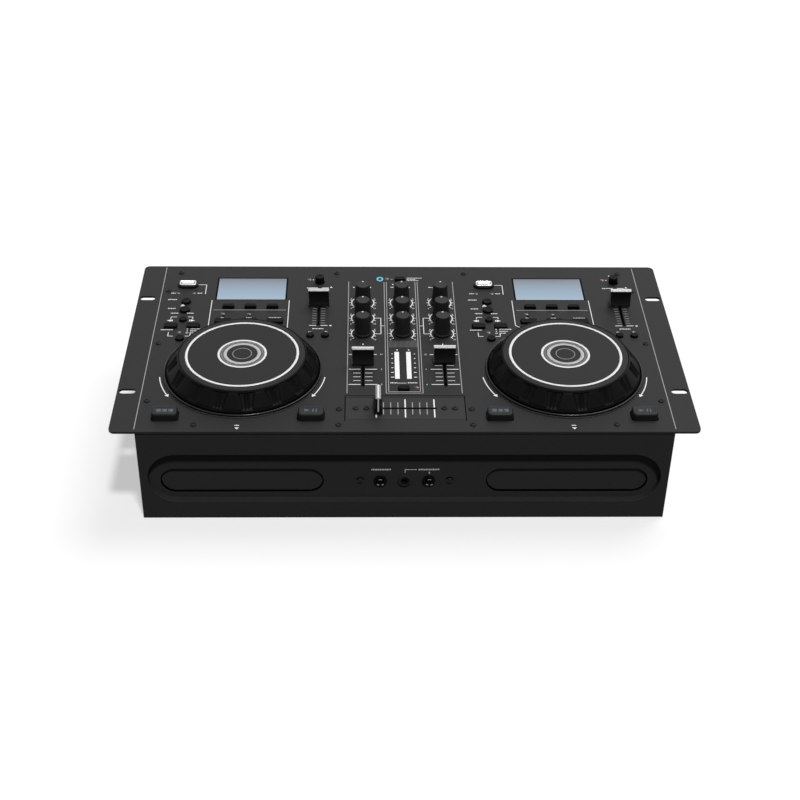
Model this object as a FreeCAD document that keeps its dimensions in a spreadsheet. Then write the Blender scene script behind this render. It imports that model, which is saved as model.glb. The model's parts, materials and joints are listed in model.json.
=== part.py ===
import FreeCAD, Part
import Sketcher
import math
import operator
import os

# Dual disc player and mixer console for a nineteen inch rack, in millimetres.
# Origin: middle of the underside.  +X runs to the right deck, +Y to the rear, +Z up.

doc = FreeCAD.newDocument("dual_disc_console")
sheet = doc.addObject("Spreadsheet::Sheet", "Sizes")
origin_point = -1  # the sketcher's number for a sketch's own origin


# ---------------------------------------------------------------- sizes and formulas

class Measure:
    """A length together with the spreadsheet formula that gives it."""

    def __init__(self, value, formula):
        self.value = value
        self.formula = formula

    def joined(self, sign, action, other, swapped=False):
        left, right = self, measured(other)
        if swapped:
            left, right = right, left
        formula = "(%s %s %s)" % (left.formula, sign, right.formula)
        return Measure(action(left.value, right.value), formula)

    def __add__(self, other):
        return self.joined("+", operator.add, other)

    def __sub__(self, other):
        return self.joined("-", operator.sub, other)

    def __mul__(self, other):
        return self.joined("*", operator.mul, other)

    def __truediv__(self, other):
        return self.joined("/", operator.truediv, other)

    def __radd__(self, other):
        return self.joined("+", operator.add, other, swapped=True)

    def __rsub__(self, other):
        return self.joined("-", operator.sub, other, swapped=True)

    def __rmul__(self, other):
        return self.joined("*", operator.mul, other, swapped=True)

    def __neg__(self):
        return 0 - self


def measured(amount):
    """Turn a plain number into a Measure and leave a Measure as it is."""
    if isinstance(amount, Measure):
        return amount
    return Measure(float(amount), "%.9g" % amount)


def size(alias, number, note):
    """Put one driving size in the sheet and give back its Measure."""
    row = len(size.rows) + 1
    size.rows.append(alias)
    sheet.set("A%d" % row, alias)
    sheet.set("B%d" % row, str(number))
    sheet.set("C%d" % row, note)
    sheet.setAlias("B%d" % row, alias)
    return Measure(float(number), "Sizes." + alias)


size.rows = []


def along(alias, number, note):
    """A place or length from front to rear, which keeps its share of the panel's depth."""
    return size(alias, number, note) * deep


def aside(alias, number, note):
    """A place or length from left to right, which keeps its share of the panel's width."""
    return size(alias, number, note) * wide


def smaller(first, second):
    """The smaller of two Measures."""
    return Measure(min(first.value, second.value),
                   "min(%s; %s)" % (first.formula, second.formula))


def bind(thing, **amounts):
    """Tie properties of an object to the sheet."""
    for name, amount in amounts.items():
        amount = measured(amount)
        setattr(thing, name, amount.value)
        thing.setExpression(name, amount.formula)
    return thing


def place(thing, x=0, y=0, z=0, turn=None, owner="Placement"):
    """Put an object at (x, y, z), after an optional fixed rotation."""
    x, y, z = measured(x), measured(y), measured(z)
    spot = FreeCAD.Vector(x.value, y.value, z.value)
    setattr(thing, owner, FreeCAD.Placement(spot, turn or FreeCAD.Rotation()))
    for axis, amount in zip("xyz", (x, y, z)):
        thing.setExpression("%s.Base.%s" % (owner, axis), amount.formula)
    return thing


def across(axis):
    """The rotation that lays an upright primitive along an axis."""
    return FreeCAD.Rotation(FreeCAD.Vector(0, 0, 1), FreeCAD.Vector(*axis))


# the case
plate_width = size("plateWidth", 482.6, "nineteen inch rack panel")
plate_depth = size("plateDepth", 259, "front edge to rear edge")
wide = plate_width / size("drawnWidth", 482.6, "panel width that the places here are for")
deep = plate_depth / size("drawnDepth", 259, "panel depth that the places here are for")
least = smaller(wide, deep)
plate_thick = size("plateThick", 2, "steel top panel")
plate_corner = size("plateCorner", 5, "corner radius of the panel")
ear_width = size("earWidth", 21.3, "ears of the panel beyond the case")
case_width = plate_width - 2 * ear_width
case_height = size("caseHeight", 89.5, "underside of the case to underside of the panel")
sheet_thick = size("sheetThick", 1.2, "folded steel of the pan and rear")
flange_reach = size("flangeReach", 11, "front and rear ledges that carry the panel")
side_flange = size("sideFlange", 9, "folded side edges that carry the panel")
front_setback = size("frontSetback", 0.5, "front face behind the panel's edge")
rear_setback = size("rearSetback", 8, "rear face ahead of the panel's edge")
slot_inset = size("slotInset", 8.75, "rack slots inside the ends of the panel")
slot_span = plate_width - 2 * slot_inset
slot_pitch = size("slotPitch", 146.05, "rack slots, front to rear")
slot_length = size("slotLength", 14, "rack slot, end to end")
slot_width = size("slotWidth", 6.7, "rack slot")

# clearances
slide_gap = size("slideGap", 0.3, "between faces that slide past each other")
cap_gap = size("capGap", 0.35, "button cap in its hole")
pin_gap = size("pinGap", 0.05, "radial, shaft in its bearing")
tray_gap = size("trayGap", 0.8, "tray cover in the front panel")
fit_gap = size("fitGap", 0.1, "fixed piece in its cut-out")

front_edge = plate_depth / -2
rear_edge = plate_depth / 2
plate_under = case_height
plate_top = case_height + plate_thick
front_face = front_edge + front_setback
rear_face = rear_edge - rear_setback
skin_thick = size("skinThick", 2.5, "front moulding")
flange_start_front = front_face + skin_thick + flange_reach - sheet_thick
flange_start_rear = rear_face - flange_reach

# the decks, measured from the centre of each jog wheel
deck_spacing = aside("deckSpacing", 275.3, "left jog wheel to right jog wheel")
jog_setback = along("jogSetback", 86.1, "jog centre behind the panel's front edge")
jog_y = front_edge + jog_setback
deck_sides = (("left", deck_spacing / -2), ("right", deck_spacing / 2))


# ---------------------------------------------------------------- sketches and solids

class Drawing:
    """A sketch on an origin plane of a body, with all its sizes tied to the sheet."""

    def __init__(self, body, plane, lift=0):
        self.sketch = body.newObject("Sketcher::SketchObject", body.Label + "_sketch")
        for feature in body.Origin.OriginFeatures:
            if feature.Role == plane:
                self.sketch.AttachmentSupport = (feature, [""])
        self.sketch.MapMode = "FlatFace"
        lift = measured(lift)
        self.sketch.AttachmentOffset = FreeCAD.Placement(
            FreeCAD.Vector(0, 0, lift.value), FreeCAD.Rotation())
        self.sketch.setExpression("AttachmentOffset.Base.z", lift.formula)
        self.edges = []
        self.rules = []
        self.formulas = []

    def rule(self, *parts, amount=None):
        if amount is None:
            self.rules.append(Sketcher.Constraint(*parts))
            return
        self.formulas.append((len(self.rules), amount.formula))
        self.rules.append(Sketcher.Constraint(*parts, amount.value))

    def pin(self, edge, end, x, y):
        self.rule("DistanceX", origin_point, 1, edge, end, amount=x)
        self.rule("DistanceY", origin_point, 1, edge, end, amount=y)

    def circle(self, x, y, radius):
        x, y, radius = measured(x), measured(y), measured(radius)
        centre = FreeCAD.Vector(x.value, y.value, 0)
        edge = len(self.edges)
        self.edges.append(Part.Circle(centre, FreeCAD.Vector(0, 0, 1), radius.value))
        self.pin(edge, 3, x, y)
        self.rule("Radius", edge, amount=radius)

    def outline(self, points):
        """A closed outline.  A third value in a point rounds the edge that follows it,
        with that radius.  The centre is on the left of the way along, or on the right
        where a fourth value says hollow."""
        first = len(self.edges)
        spots = [(measured(point[0]), measured(point[1])) for point in points]
        vertices = [FreeCAD.Vector(x.value, y.value, 0) for x, y in spots]
        ends = []
        for index, point in enumerate(points):
            start, stop = vertices[index], vertices[(index + 1) % len(vertices)]
            hollow = len(point) == 4
            ends.append((2, 1) if hollow else (1, 2))
            if len(point) == 2:
                self.edges.append(Part.LineSegment(start, stop))
                continue
            if hollow:
                start, stop = stop, start
            radius = measured(point[2])
            half = (stop - start) * 0.5
            rise = math.sqrt(radius.value ** 2 - half.Length ** 2)
            left = FreeCAD.Vector(-half.y, half.x, 0).normalize()
            centre = start + half + left * rise
            circle = Part.Circle(centre, FreeCAD.Vector(0, 0, 1), radius.value)
            angles = [math.atan2(p.y - centre.y, p.x - centre.x) for p in (start, stop)]
            if angles[1] < angles[0]:
                angles[1] += 2 * math.pi
            self.edges.append(Part.ArcOfCircle(circle, *angles))
            self.rule("Radius", first + index, amount=radius)
        for index, (x, y) in enumerate(spots):
            follower = (index + 1) % len(spots)
            self.rule("Coincident", first + index, ends[index][1],
                      first + follower, ends[follower][0])
            self.pin(first + index, ends[index][0], x, y)

    def rectangle(self, x, y, width, depth):
        left, right = x - width / 2, x + width / 2
        near, far = y - depth / 2, y + depth / 2
        self.outline([(left, near), (right, near), (right, far), (left, far)])

    def rounded(self, x, y, width, depth, radius):
        left, right = x - width / 2, x + width / 2
        near, far = y - depth / 2, y + depth / 2
        self.outline([(left + radius, near), (right - radius, near, radius),
                      (right, near + radius), (right, far - radius, radius),
                      (right - radius, far), (left + radius, far, radius),
                      (left, far - radius), (left, near + radius, radius)])

    def stadium(self, x, y, length, width):
        """Two half circles joined by straight sides, each half drawn as two quarters."""
        radius = width / 2
        left, right = x - length / 2, x + length / 2
        near, far = y - radius, y + radius
        self.outline([(left + radius, near), (right - radius, near, radius),
                      (right, y, radius), (right - radius, far),
                      (left + radius, far, radius), (left, y, radius)])

    def done(self):
        self.sketch.addGeometry(self.edges, False)
        self.sketch.addConstraint(self.rules)
        for index, formula in self.formulas:
            self.sketch.setExpression("Constraints[%d]" % index, formula)
        return self.sketch


nodes = []


def named(thing, label):
    """Keep an object as one of the sub-parts that are written out."""
    thing.Label = label
    nodes.append(thing)
    return thing


def new_body(label):
    body = doc.addObject("PartDesign::Body", label)
    body.Label = label
    return body


def grow(body, drawing, length, back=False, taper=0):
    """Pad a sketch along its normal, or the other way with back."""
    pad = body.newObject("PartDesign::Pad", body.Label + "_pad")
    pad.Profile = drawing.done()
    bind(pad, Length=length)
    pad.Reversed = back
    if taper:
        pad.TaperAngle = taper
    return pad


def sink(body, drawing, depth=None, back=False, taper=0):
    """Pocket a sketch against its normal, or right through with no depth."""
    pocket = body.newObject("PartDesign::Pocket", body.Label + "_pocket")
    pocket.Profile = drawing.done()
    pocket.Refine = False
    pocket.Reversed = back
    if depth is None:
        pocket.Type = "ThroughAll"
        pocket.Midplane = True
    else:
        bind(pocket, Length=depth)
    if taper:
        pocket.TaperAngle = taper
    return pocket


def repeat_right(body, features):
    """Repeat a deck's features on the deck to its right."""
    pattern = body.newObject("PartDesign::LinearPattern", body.Label + "_repeated")
    pattern.Originals = features
    pattern.Direction = (features[0].Profile[0], ["H_Axis"])
    bind(pattern, Length=deck_spacing)
    pattern.Occurrences = 2
    pattern.Refine = False
    body.Tip = pattern
    return pattern


def turn_profile(body, points):
    """Revolve an outline of (radius, height) points about the body's Z axis."""
    drawing = Drawing(body, "XZ_Plane")
    drawing.outline(points)
    revolution = body.newObject("PartDesign::Revolution", body.Label + "_turned")
    revolution.Profile = drawing.done()
    revolution.ReferenceAxis = (revolution.Profile[0], ["V_Axis"])
    revolution.Angle = 360
    return revolution


def block(x, y, z, width, depth, height):
    """A box centred on x and y, standing on z."""
    thing = doc.addObject("Part::Box", "block")
    bind(thing, Length=width, Width=depth, Height=height)
    return place(thing, x - width / 2, y - depth / 2, z)


def rod(x, y, z, radius, length, axis=(0, 0, 1)):
    """A cylinder that starts at a point and runs along an axis."""
    thing = doc.addObject("Part::Cylinder", "rod")
    bind(thing, Radius=radius, Height=length)
    return place(thing, x, y, z, across(axis))


def fuse(things):
    joined = doc.addObject("Part::MultiFuse", "fused")
    joined.Shapes = things
    return joined


def group(things):
    """Separate solids kept in one sub-part."""
    together = doc.addObject("Part::Compound", "group")
    together.Links = things
    return together


def cut(base, tools):
    result = doc.addObject("Part::Cut", "cut")
    result.Base = base
    result.Tool = tools[0] if len(tools) == 1 else fuse(tools)
    return result


# ---------------------------------------------------------------- where the controls are

def spot(name, x, y, note):
    """Two driving sizes that place one control."""
    return (aside(name + "X", x, note + ", to the right of its centre line"),
            along(name + "Y", y, note + ", behind its centre line"))


button_travel = size("buttonTravel", 0.8, "stroke of every key")
cap_rise = size("capRise", 2.3, "small keys above the panel")
pad_rise = size("padRise", 6, "cue and play pads above the panel")
soft_rise = size("softRise", 3, "soft keys above the panel")
flat_rise = size("flatRise", 2.5, "mixer keys above the panel")
lip_reach = size("lipReach", 0.8, "ledge that keeps a key under the panel")
lip_thick = size("lipThick", 1.2, "thickness of that ledge")
stem_length = size("stemLength", 4, "from the ledge to the switch")
stem_side = size("stemSide", 3, "square stem under a key")
switch_side = size("switchSide", 6, "square push switch")
board_drop = size("boardDrop", 13.5, "control board under the panel")
board_top = plate_under - board_drop
board_thick = size("boardThick", 1.6, "circuit board")

lip_top = plate_under - slide_gap
stem_foot = lip_top - lip_thick - stem_length
switch_top = stem_foot - button_travel - slide_gap


class Key:
    """A sprung key: its node, its centre and its cap.  A round one has no depth."""

    def __init__(self, node, centre, width, depth=None, rise=cap_rise, corner=None):
        self.node, self.centre, self.width = node, centre, width
        self.depth, self.rise, self.corner = depth, rise, corner

    def draw(self, drawing, x, y, spare=0):
        """Draw the cap's outline about a centre, with some room round it."""
        width = self.width + 2 * spare
        if self.depth is None:
            drawing.circle(x, y, width / 2)
        elif self.corner:
            drawing.rounded(x, y, width, self.depth + 2 * spare, self.corner + spare)
        else:
            drawing.rectangle(x, y, width, self.depth + 2 * spare)

    def solids(self, x, y):
        """The cap with its ledge and stem."""
        body = new_body("key")
        place(body, x, y)
        outline = Drawing(body, "XY_Plane", lip_top)
        self.draw(outline, measured(0), measured(0))
        grow(body, outline, plate_top + self.rise - lip_top, taper=-self.draft())
        depth = self.width if self.depth is None else self.depth
        ledge = block(x, y, lip_top - lip_thick, self.width + 2 * lip_reach,
                      depth + 2 * lip_reach, lip_thick)
        stem = block(x, y, stem_foot, stem_side, stem_side, stem_length)
        return fuse([body, ledge, stem])

    def draft(self):
        return 0 if self.depth is None else 2


column = aside("buttonColumnX", -59.1, "column of keys left of the jog wheel")
track_step = aside("trackStep", 10, "track keys either side of the column")
key_step = aside("keyStep", 20, "soft keys under the display")
loop_step = aside("loopStep", 23.1, "loop keys")
bend_step = aside("bendStep", 6.6, "pitch bend keys either side of the fader")
round_key = size("roundKey", 8.5, "round key, diameter")
bend_key = size("bendKey", 6.7, "pitch bend key, diameter")
mode_key = size("modeKey", 6.7, "mode key, diameter")
repeat_key = size("repeatKey", 7.4, "repeat key, diameter")
eject_key = size("ejectKey", 9, "eject key, diameter")
track_width = size("trackWidth", 11.5, "track key")
track_depth = size("trackDepth", 7, "track key")
soft_width = size("softWidth", 10.4, "soft key")
soft_depth = size("softDepth", 4.8, "soft key")
loop_width = size("loopWidth", 15, "loop key")
loop_depth = size("loopDepth", 7, "loop key")
pad_width = size("padWidth", 22, "cue and play pads")
pad_depth = size("padDepth", 14, "cue and play pads")
pad_corner = size("padCorner", 2.5, "cue and play pads")
pad_column = aside("padColumnX", 59.8, "cue and play pads beside the jog wheel")
pad_gap = size("padGap", 1.2, "pads behind the front ledge")
pad_y = flange_start_front + pad_gap + lip_reach + pad_depth / 2 - jog_y
source_y = along("sourceY", 109.6, "source key")
eject_y = along("ejectY", 95.3, "eject key")
mode_y = along("modeY", 79.4, "mode key")
track_y = along("trackY", 69.2, "track keys")
repeat_y = along("repeatY", 49.0, "repeat key")
soft_y = along("softY", 101, "soft keys")
loop_y = along("loopY", 77, "loop keys")
pitch_x = aside("pitchX", 62.3, "pitch fader")
pitch_travel = size("pitchTravel", 55, "pitch fader, whole travel")
range_rear_gap = size("rangeRearGap", 4.15, "range key ahead of the rear ledge")
range_y = flange_start_rear - range_rear_gap - lip_reach - round_key / 2 - jog_y
range_gap = size("rangeGap", 12.8, "range key behind the end of the fader's travel")
pitch_y = range_y - range_gap - pitch_travel / 2
bend_y = along("bendY", 54.4, "pitch bend keys")

# keys of one deck, measured from its jog wheel
deck_keys = [
    Key("round_keys", (column, source_y), round_key),
    Key("round_keys", (column, mode_y), mode_key),
    Key("round_keys", (column, repeat_y), repeat_key),
    Key("eject_key", (column, eject_y), eject_key),
    Key("track_back_key", (column - track_step, track_y), track_width, track_depth),
    Key("track_next_key", (column + track_step, track_y), track_width, track_depth),
    Key("cue_key", (-pad_column, pad_y), pad_width, pad_depth, pad_rise, pad_corner),
    Key("play_key", (pad_column, pad_y), pad_width, pad_depth, pad_rise, pad_corner),
    Key("pitch_keys", (pitch_x, range_y), round_key),
    Key("pitch_keys", (pitch_x - bend_step, bend_y), bend_key),
    Key("pitch_keys", (pitch_x + bend_step, bend_y), bend_key),
]
for step in (-1, 0, 1):
    soft_spot = (key_step * step, soft_y)
    deck_keys.append(Key("soft_keys", soft_spot, soft_width, soft_depth, soft_rise))
    deck_keys.append(Key("loop_keys", (loop_step * step, loop_y), loop_width, loop_depth))

flat_width = size("flatWidth", 9.4, "mixer key")
flat_depth = size("flatDepth", 5.4, "mixer key")
mixer_keys = [
    Key("sync_key", spot("syncKey", -0.5, 105.7, "rear mixer key"),
        flat_width, flat_depth, flat_rise),
    Key("phones_key", spot("phonesKey", -0.6, -69.9, "front mixer key"),
        flat_width, flat_depth, flat_rise),
]

# indicator lenses: those of a deck are measured from its jog wheel
lens_radius = size("lensRadius", 1.2, "indicator lens")
lens_rise = size("lensRise", 0.4, "lens above the panel")
lamp_radius = size("lampRadius", 1.8, "lamp under the panel")
lamp_depth = size("lampDepth", 4, "lamp under the panel")
deck_lenses = [
    spot("readyLens", -67.9, 125, "left socket lamp"),
    spot("busyLens", -53.5, 125, "right socket lamp"),
    spot("modeLens", -60.8, 60, "mode lamp"),
    spot("firstLens", -23.4, 86.5, "left display lamp"),
    spot("secondLens", -0.4, 86.5, "middle display lamp"),
    spot("pitchLens", 53.1, 150.3, "pitch lamp"),
]
mixer_lenses = [
    spot("linkLens", -12.8, 107.8, "rear mixer lamp"),
    spot("phonesLens", 10.5, -67.2, "front mixer lamp"),
]

# faders
fader_lift = size("faderLift", 0.5, "fader cap above the panel")
fader_height = size("faderHeight", 17, "fader cap")
fader_length = size("faderLength", 20, "fader cap across its travel")
fader_foot = size("faderFoot", 10, "flange of a fader cap along its travel")
fader_foot_thick = size("faderFootThick", 2, "flange of a fader cap")
fader_crest = size("faderCrest", 4.8, "crest of a fader cap along its travel")
fader_hollow = size("faderHollow", 24, "radius of its hollow flanks")
blade_width = size("bladeWidth", 6, "fader blade along its travel")
blade_thick = size("bladeThick", 1.2, "fader blade across its travel")
slot_gap = size("slotGap", 0.6, "fader blade in its slot")
housing_width = size("housingWidth", 12, "fader track")
housing_wall = size("housingWall", 1.5, "fader track")
channel_x = aside("channelX", 35.2, "channel faders beside the centre line")
channel_y = along("channelY", -40.3, "middle of the channel faders' travel")
channel_travel = size("channelTravel", 45, "channel fader")
left_level = size("leftLevel", 7.3, "left channel fader at rest, past its middle")
right_level = size("rightLevel", 9.6, "right channel fader at rest, past its middle")
cross_travel = size("crossTravel", 45, "crossfader")
cross_level = cross_travel / -2
cross_depth = size("crossDepth", 30, "crossfader plate")
cross_lip = size("crossLip", 1.5, "its ledge beyond the cut-out")
cross_lip_thick = size("crossLipThick", 1, "its ledge")
cross_gap = size("crossGap", 2.8, "its ledge behind the front ledge")
cross_y = flange_start_front + cross_gap + cross_lip + cross_depth / 2

# mixer knobs, three rows of three
knob_step = aside("knobStep", 35.3, "knob columns")
knob_rows = [along("knobRow%s" % name, y, "row of knobs")
             for name, y in (("Rear", 65.5), ("Middle", 39.6), ("Front", 14.5))]
knob_height = size("knobHeight", 19.5, "knob")
knob_lift = size("knobLift", 0.5, "knob above the panel")
knob_foot = size("knobFoot", 8, "radius at its foot")
knob_crown = size("knobCrown", 6, "radius at its top")
shaft_radius = size("shaftRadius", 3, "potentiometer shaft")
shaft_gap = size("shaftGap", 0.5, "radial, shaft through the panel")
pot_side = size("potSide", 11, "potentiometer")
pot_height = size("potHeight", 6.5, "potentiometer")

# display, sockets and meter
display_x = aside("displayX", -0.5, "display, from the jog wheel")
display_width = size("displayWidth", 62, "display glass")
display_depth = size("displayDepth", 37, "display glass")
display_sink = size("displaySink", 0.4, "glass below the panel's face")
display_edge = size("displayEdge", 2, "display module beyond its glass, front and rear")
display_gap = size("displayGap", 1, "display module ahead of the rear ledge")
display_y = (flange_start_rear - display_gap - display_edge - display_depth / 2) - jog_y
display_side = size("displaySide", 5, "display module beyond its glass, left and right")
display_thick = size("displayThick", 6, "display module under the panel")
usb_y = along("usbY", 138.5, "memory stick socket, from the jog wheel")
surround_length = size("surroundLength", 19.4, "its moulded surround")
surround_width = size("surroundWidth", 12, "its moulded surround")
surround_rise = size("surroundRise", 2.6, "its moulded surround")
shell_width = size("shellWidth", 13.4, "its metal shell, outside")
shell_depth = size("shellDepth", 6.2, "its metal shell, outside")
shell_wall = size("shellWall", 0.4, "its metal shell")
tongue_width = size("tongueWidth", 11.2, "contact tongue")
tongue_thick = size("tongueThick", 1.9, "contact tongue")
tongue_back = size("tongueBack", 1, "tongue behind the middle of the shell")
tongue_sink = size("tongueSink", 1.4, "tongue below the shell's mouth")
usb_base = size("usbBase", 5, "closed foot of the socket")
meter_bar = size("meterBar", 4.8, "level bar")
meter_length = size("meterLength", 40.7, "level bar")
meter_x = size("meterX", 5.1, "level bars beside their middle")
meter_shift = size("meterShift", -0.6, "middle of the level bars")
meter_y = along("meterY", -34.5, "level bars")
meter_sink = size("meterSink", 0.3, "level bars below the panel's face")
meter_width = size("meterWidth", 20, "level meter under the panel")
meter_thick = size("meterThick", 9, "level meter under the panel")

# fastenings
screw_hole = size("screwHole", 1.7, "radius of every clearance hole")
screw_shank = size("screwShank", 1.5, "radius")
screw_length = size("screwLength", 8, "shank")
screw_head = size("screwHead", 2.6, "radius")
screw_head_rise = size("screwHeadRise", 1.3, "head")
edge_screw_y = front_face + size("edgeScrewInset", 9.2, "front row of panel screws")
rear_screw_y = rear_face - size("rearScrewInset", 4.3, "rear row of panel screws")
side_screw_x = aside("sideScrewX", 214.8, "panel screws along the sides")
panel_screws = [
    (aside("rearScrewX", 206, "outer rear screws"), rear_screw_y),
    (aside("rearInnerX", 60, "inner rear screws"), rear_screw_y),
    (side_screw_x, along("sideRearY", 85.6, "side screws, rear")),
    (side_screw_x, along("sideMiddleY", -1.2, "side screws, middle")),
    (side_screw_x, along("sideFrontY", -86.9, "side screws, front")),
    (aside("frontScrewX", 173.2, "outer front screws"), edge_screw_y),
    (aside("frontInnerX", 55, "inner front screws"), edge_screw_y),
]
board_screw = (aside("boardScrewX", 55, "board screws"), along("boardScrewY", -98.4, "board"))
cross_inset = size("crossInset", 5.5, "crossfader plate inside the board screws")
cross_width = 2 * (board_screw[0] - cross_inset)
cross_screws = [aside("crossScrewInner", 32.4, "screws of the fader"),
                aside("crossScrewOuter", 41.2, "screws of its plate")]
front_tab_y = front_edge + size("frontTabScrew", 9.5, "side screws behind the front edge")
rear_tab_y = rear_face - size("rearTabScrew", 7.5, "side screws ahead of the rear face")
tab_screw_heights = [size("tabScrewLow", 25.2, "lower side screws"),
                     plate_under - size("tabScrewDrop", 10.3, "upper side screws")]
tab_thick = size("tabThick", 2.4, "moulded tabs of the front panel")
tab_reach = size("tabReach", 14, "tabs behind the front and ahead of the rear")
tab_low = size("tabLow", 10, "foot of the side tabs")
both_sides = (-1, 1)


# ---------------------------------------------------------------- case

# vents in the sides
vent_count = 10
vent_start = size("ventStart", 20, "first side vent behind the middle")
vent_step = size("ventStep", 8, "side vents")
vent_width = size("ventWidth", 3, "side vent")
vent_length = size("ventLength", 25, "side vent")
vent_height = size("ventHeight", 58, "middle of the side vents")
key_notch = aside("keyNotch", 213, "middle of the notch in the side flange for a track key")

# front panel: a moulded skin with one long recess
recess_inset = size("recessInset", 6.5, "ends of the recess inside the case")
recess_length = case_width - 2 * recess_inset
recess_width = size("recessWidth", 49.7, "recess, bottom to top")
recess_height = size("recessHeight", 42.55, "middle of the recess")
recess_depth = size("recessDepth", 4, "recess")
recess_draft = 16
tray_spacing = aside("traySpacing", 271.2, "left tray to right tray")
tray_height = size("trayHeight", 37.3, "middle of the tray openings")
tray_width = size("trayWidth", 128, "disc tray")
cover_reach = size("coverReach", 3.05, "tray cover beyond each side of the tray")
cover_length = tray_width + 2 * cover_reach
opening_length = cover_length + 2 * tray_gap
opening_width = size("openingWidth", 24.7, "tray opening")
jack_screw = aside("jackScrew", 37.3, "screws beside the jacks")
flange_span = case_width - 2 * sheet_thick - 2 * slide_gap

# front jacks: quarter inch, small, quarter inch
plug_radius = size("plugRadius", 3.25, "bore for a quarter inch plug")
small_plug_radius = size("smallPlugRadius", 1.8, "bore for a small plug")
jacks = [(aside("micX", -20.5, "microphone jack"), plug_radius),
         (aside("smallX", -0.4, "small headphone jack"), small_plug_radius),
         (aside("phonesX", 19.8, "headphone jack"), plug_radius)]
bushing_radius = size("bushingRadius", 4.4, "bushing of a jack")
nut_radius = size("nutRadius", 5.5, "ring nut of a jack")
nut_thick = size("nutThick", 1, "ring nut of a jack")
jack_side = size("jackSide", 14, "jack housing")
jack_length = size("jackLength", 24, "jack housing")
jack_bore = size("jackBore", 20, "depth of a jack's bore")

tray_sides = (("left", tray_spacing / -2), ("right", tray_spacing / 2))
floor_face = front_face + recess_depth
floor_back = floor_face + skin_thick


def fader_slot(drawing, x, y, travel, across_x=False):
    """The slot that a fader blade runs in."""
    length = travel + blade_width + 2 * slot_gap
    width = blade_thick + 2 * slot_gap
    if across_x:
        drawing.rectangle(x, y, length, width)
    else:
        drawing.rectangle(x, y, width, length)


def top_panel():
    """The rack panel: what one deck needs is cut once and repeated for the other."""
    body = new_body("top_panel")
    outline = Drawing(body, "XY_Plane", plate_under)
    outline.rounded(measured(0), measured(0), plate_width, plate_depth, plate_corner)
    grow(body, outline, plate_thick)

    rack = Drawing(body, "XY_Plane", plate_top)
    for x_side in both_sides:
        for y_side in both_sides:
            rack.stadium(slot_span / 2 * x_side, slot_pitch / 2 * y_side,
                         slot_length, slot_width)
    sink(body, rack, plate_thick)

    fixings = Drawing(body, "XY_Plane", plate_top)
    for x, y in panel_screws + [board_screw]:
        for side in both_sides:
            fixings.circle(x * side, y, screw_hole)
    sink(body, fixings, plate_thick)

    jog_x = deck_sides[0][1]
    pads = Drawing(body, "XY_Plane", plate_top)
    caps = Drawing(body, "XY_Plane", plate_top)
    for key in deck_keys:
        x, y = key.centre
        key.draw(pads if key.corner else caps, jog_x + x, jog_y + y, spare=cap_gap)
    for x, y in deck_lenses:
        caps.circle(jog_x + x, jog_y + y, lens_radius + fit_gap)
    windows = Drawing(body, "XY_Plane", plate_top)
    windows.rectangle(jog_x + display_x, jog_y + display_y,
                      display_width + 2 * fit_gap, display_depth + 2 * fit_gap)
    windows.rectangle(jog_x + column, jog_y + usb_y,
                      shell_width + 2 * fit_gap, shell_depth + 2 * fit_gap)
    windows.circle(jog_x, jog_y, spigot_radius + fit_gap)
    fader_slot(windows, jog_x + pitch_x, jog_y + pitch_y, pitch_travel)
    repeat_right(body, [sink(body, drawing, plate_thick)
                        for drawing in (pads, caps, windows)])

    mixer = Drawing(body, "XY_Plane", plate_top)
    for key in mixer_keys:
        key.draw(mixer, *key.centre, spare=cap_gap)
    for x, y in mixer_lenses:
        mixer.circle(x, y, lens_radius + fit_gap)
    for row in knob_rows:
        for step in (-1, 0, 1):
            mixer.circle(knob_step * step, row, shaft_radius + shaft_gap)
    for side in both_sides:
        fader_slot(mixer, channel_x * side, channel_y, channel_travel)
        mixer.rectangle(meter_shift + meter_x * side, meter_y,
                        meter_bar + 2 * fit_gap, meter_length + 2 * fit_gap)
    mixer.rectangle(measured(0), cross_y, cross_width + 2 * slide_gap,
                    cross_depth + 2 * slide_gap)
    sink(body, mixer, plate_thick)
    return named(body, "top_panel")


def chassis_pan():
    """Floor and sides folded from one sheet, with inward flanges under the panel."""
    body = new_body("chassis_pan")
    front, rear = front_face + skin_thick, rear_face - sheet_thick
    half = case_width / 2
    inner = half - sheet_thick
    lip = half - side_flange
    profile = Drawing(body, "XZ_Plane", -rear)
    profile.outline([(-half, 0), (half, 0), (half, case_height), (lip, case_height),
                     (lip, case_height - sheet_thick), (inner, case_height - sheet_thick),
                     (inner, sheet_thick), (-inner, sheet_thick),
                     (-inner, case_height - sheet_thick), (-lip, case_height - sheet_thick),
                     (-lip, case_height), (-half, case_height)])
    grow(body, profile, rear - front)

    ends = Drawing(body, "XY_Plane", case_height)
    for side in both_sides:
        ends.rectangle((lip + inner) / 2 * side, (front + flange_start_front) / 2,
                       inner - lip, flange_start_front - front)
        ends.rectangle((lip + inner) / 2 * side, (rear + flange_start_rear) / 2,
                       inner - lip, rear - flange_start_rear)
        ends.rectangle(key_notch * side, jog_y + track_y, 2 * (key_notch - lip),
                       2 * track_depth)
    sink(body, ends, depth=sheet_thick)

    holes = Drawing(body, "XY_Plane", case_height)
    for x, y in panel_screws[2:5]:
        for side in both_sides:
            holes.circle(x * side, y, screw_hole)
    sink(body, holes, depth=sheet_thick)

    sides = Drawing(body, "YZ_Plane")
    for height in tab_screw_heights:
        for y in (front_tab_y, rear_tab_y):
            sides.circle(y, height, screw_hole)
    for step in range(vent_count):
        y = vent_start + vent_step * step
        sides.rectangle(y, vent_height, vent_width, vent_length)
    sink(body, sides)
    return named(body, "chassis_pan")


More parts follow.
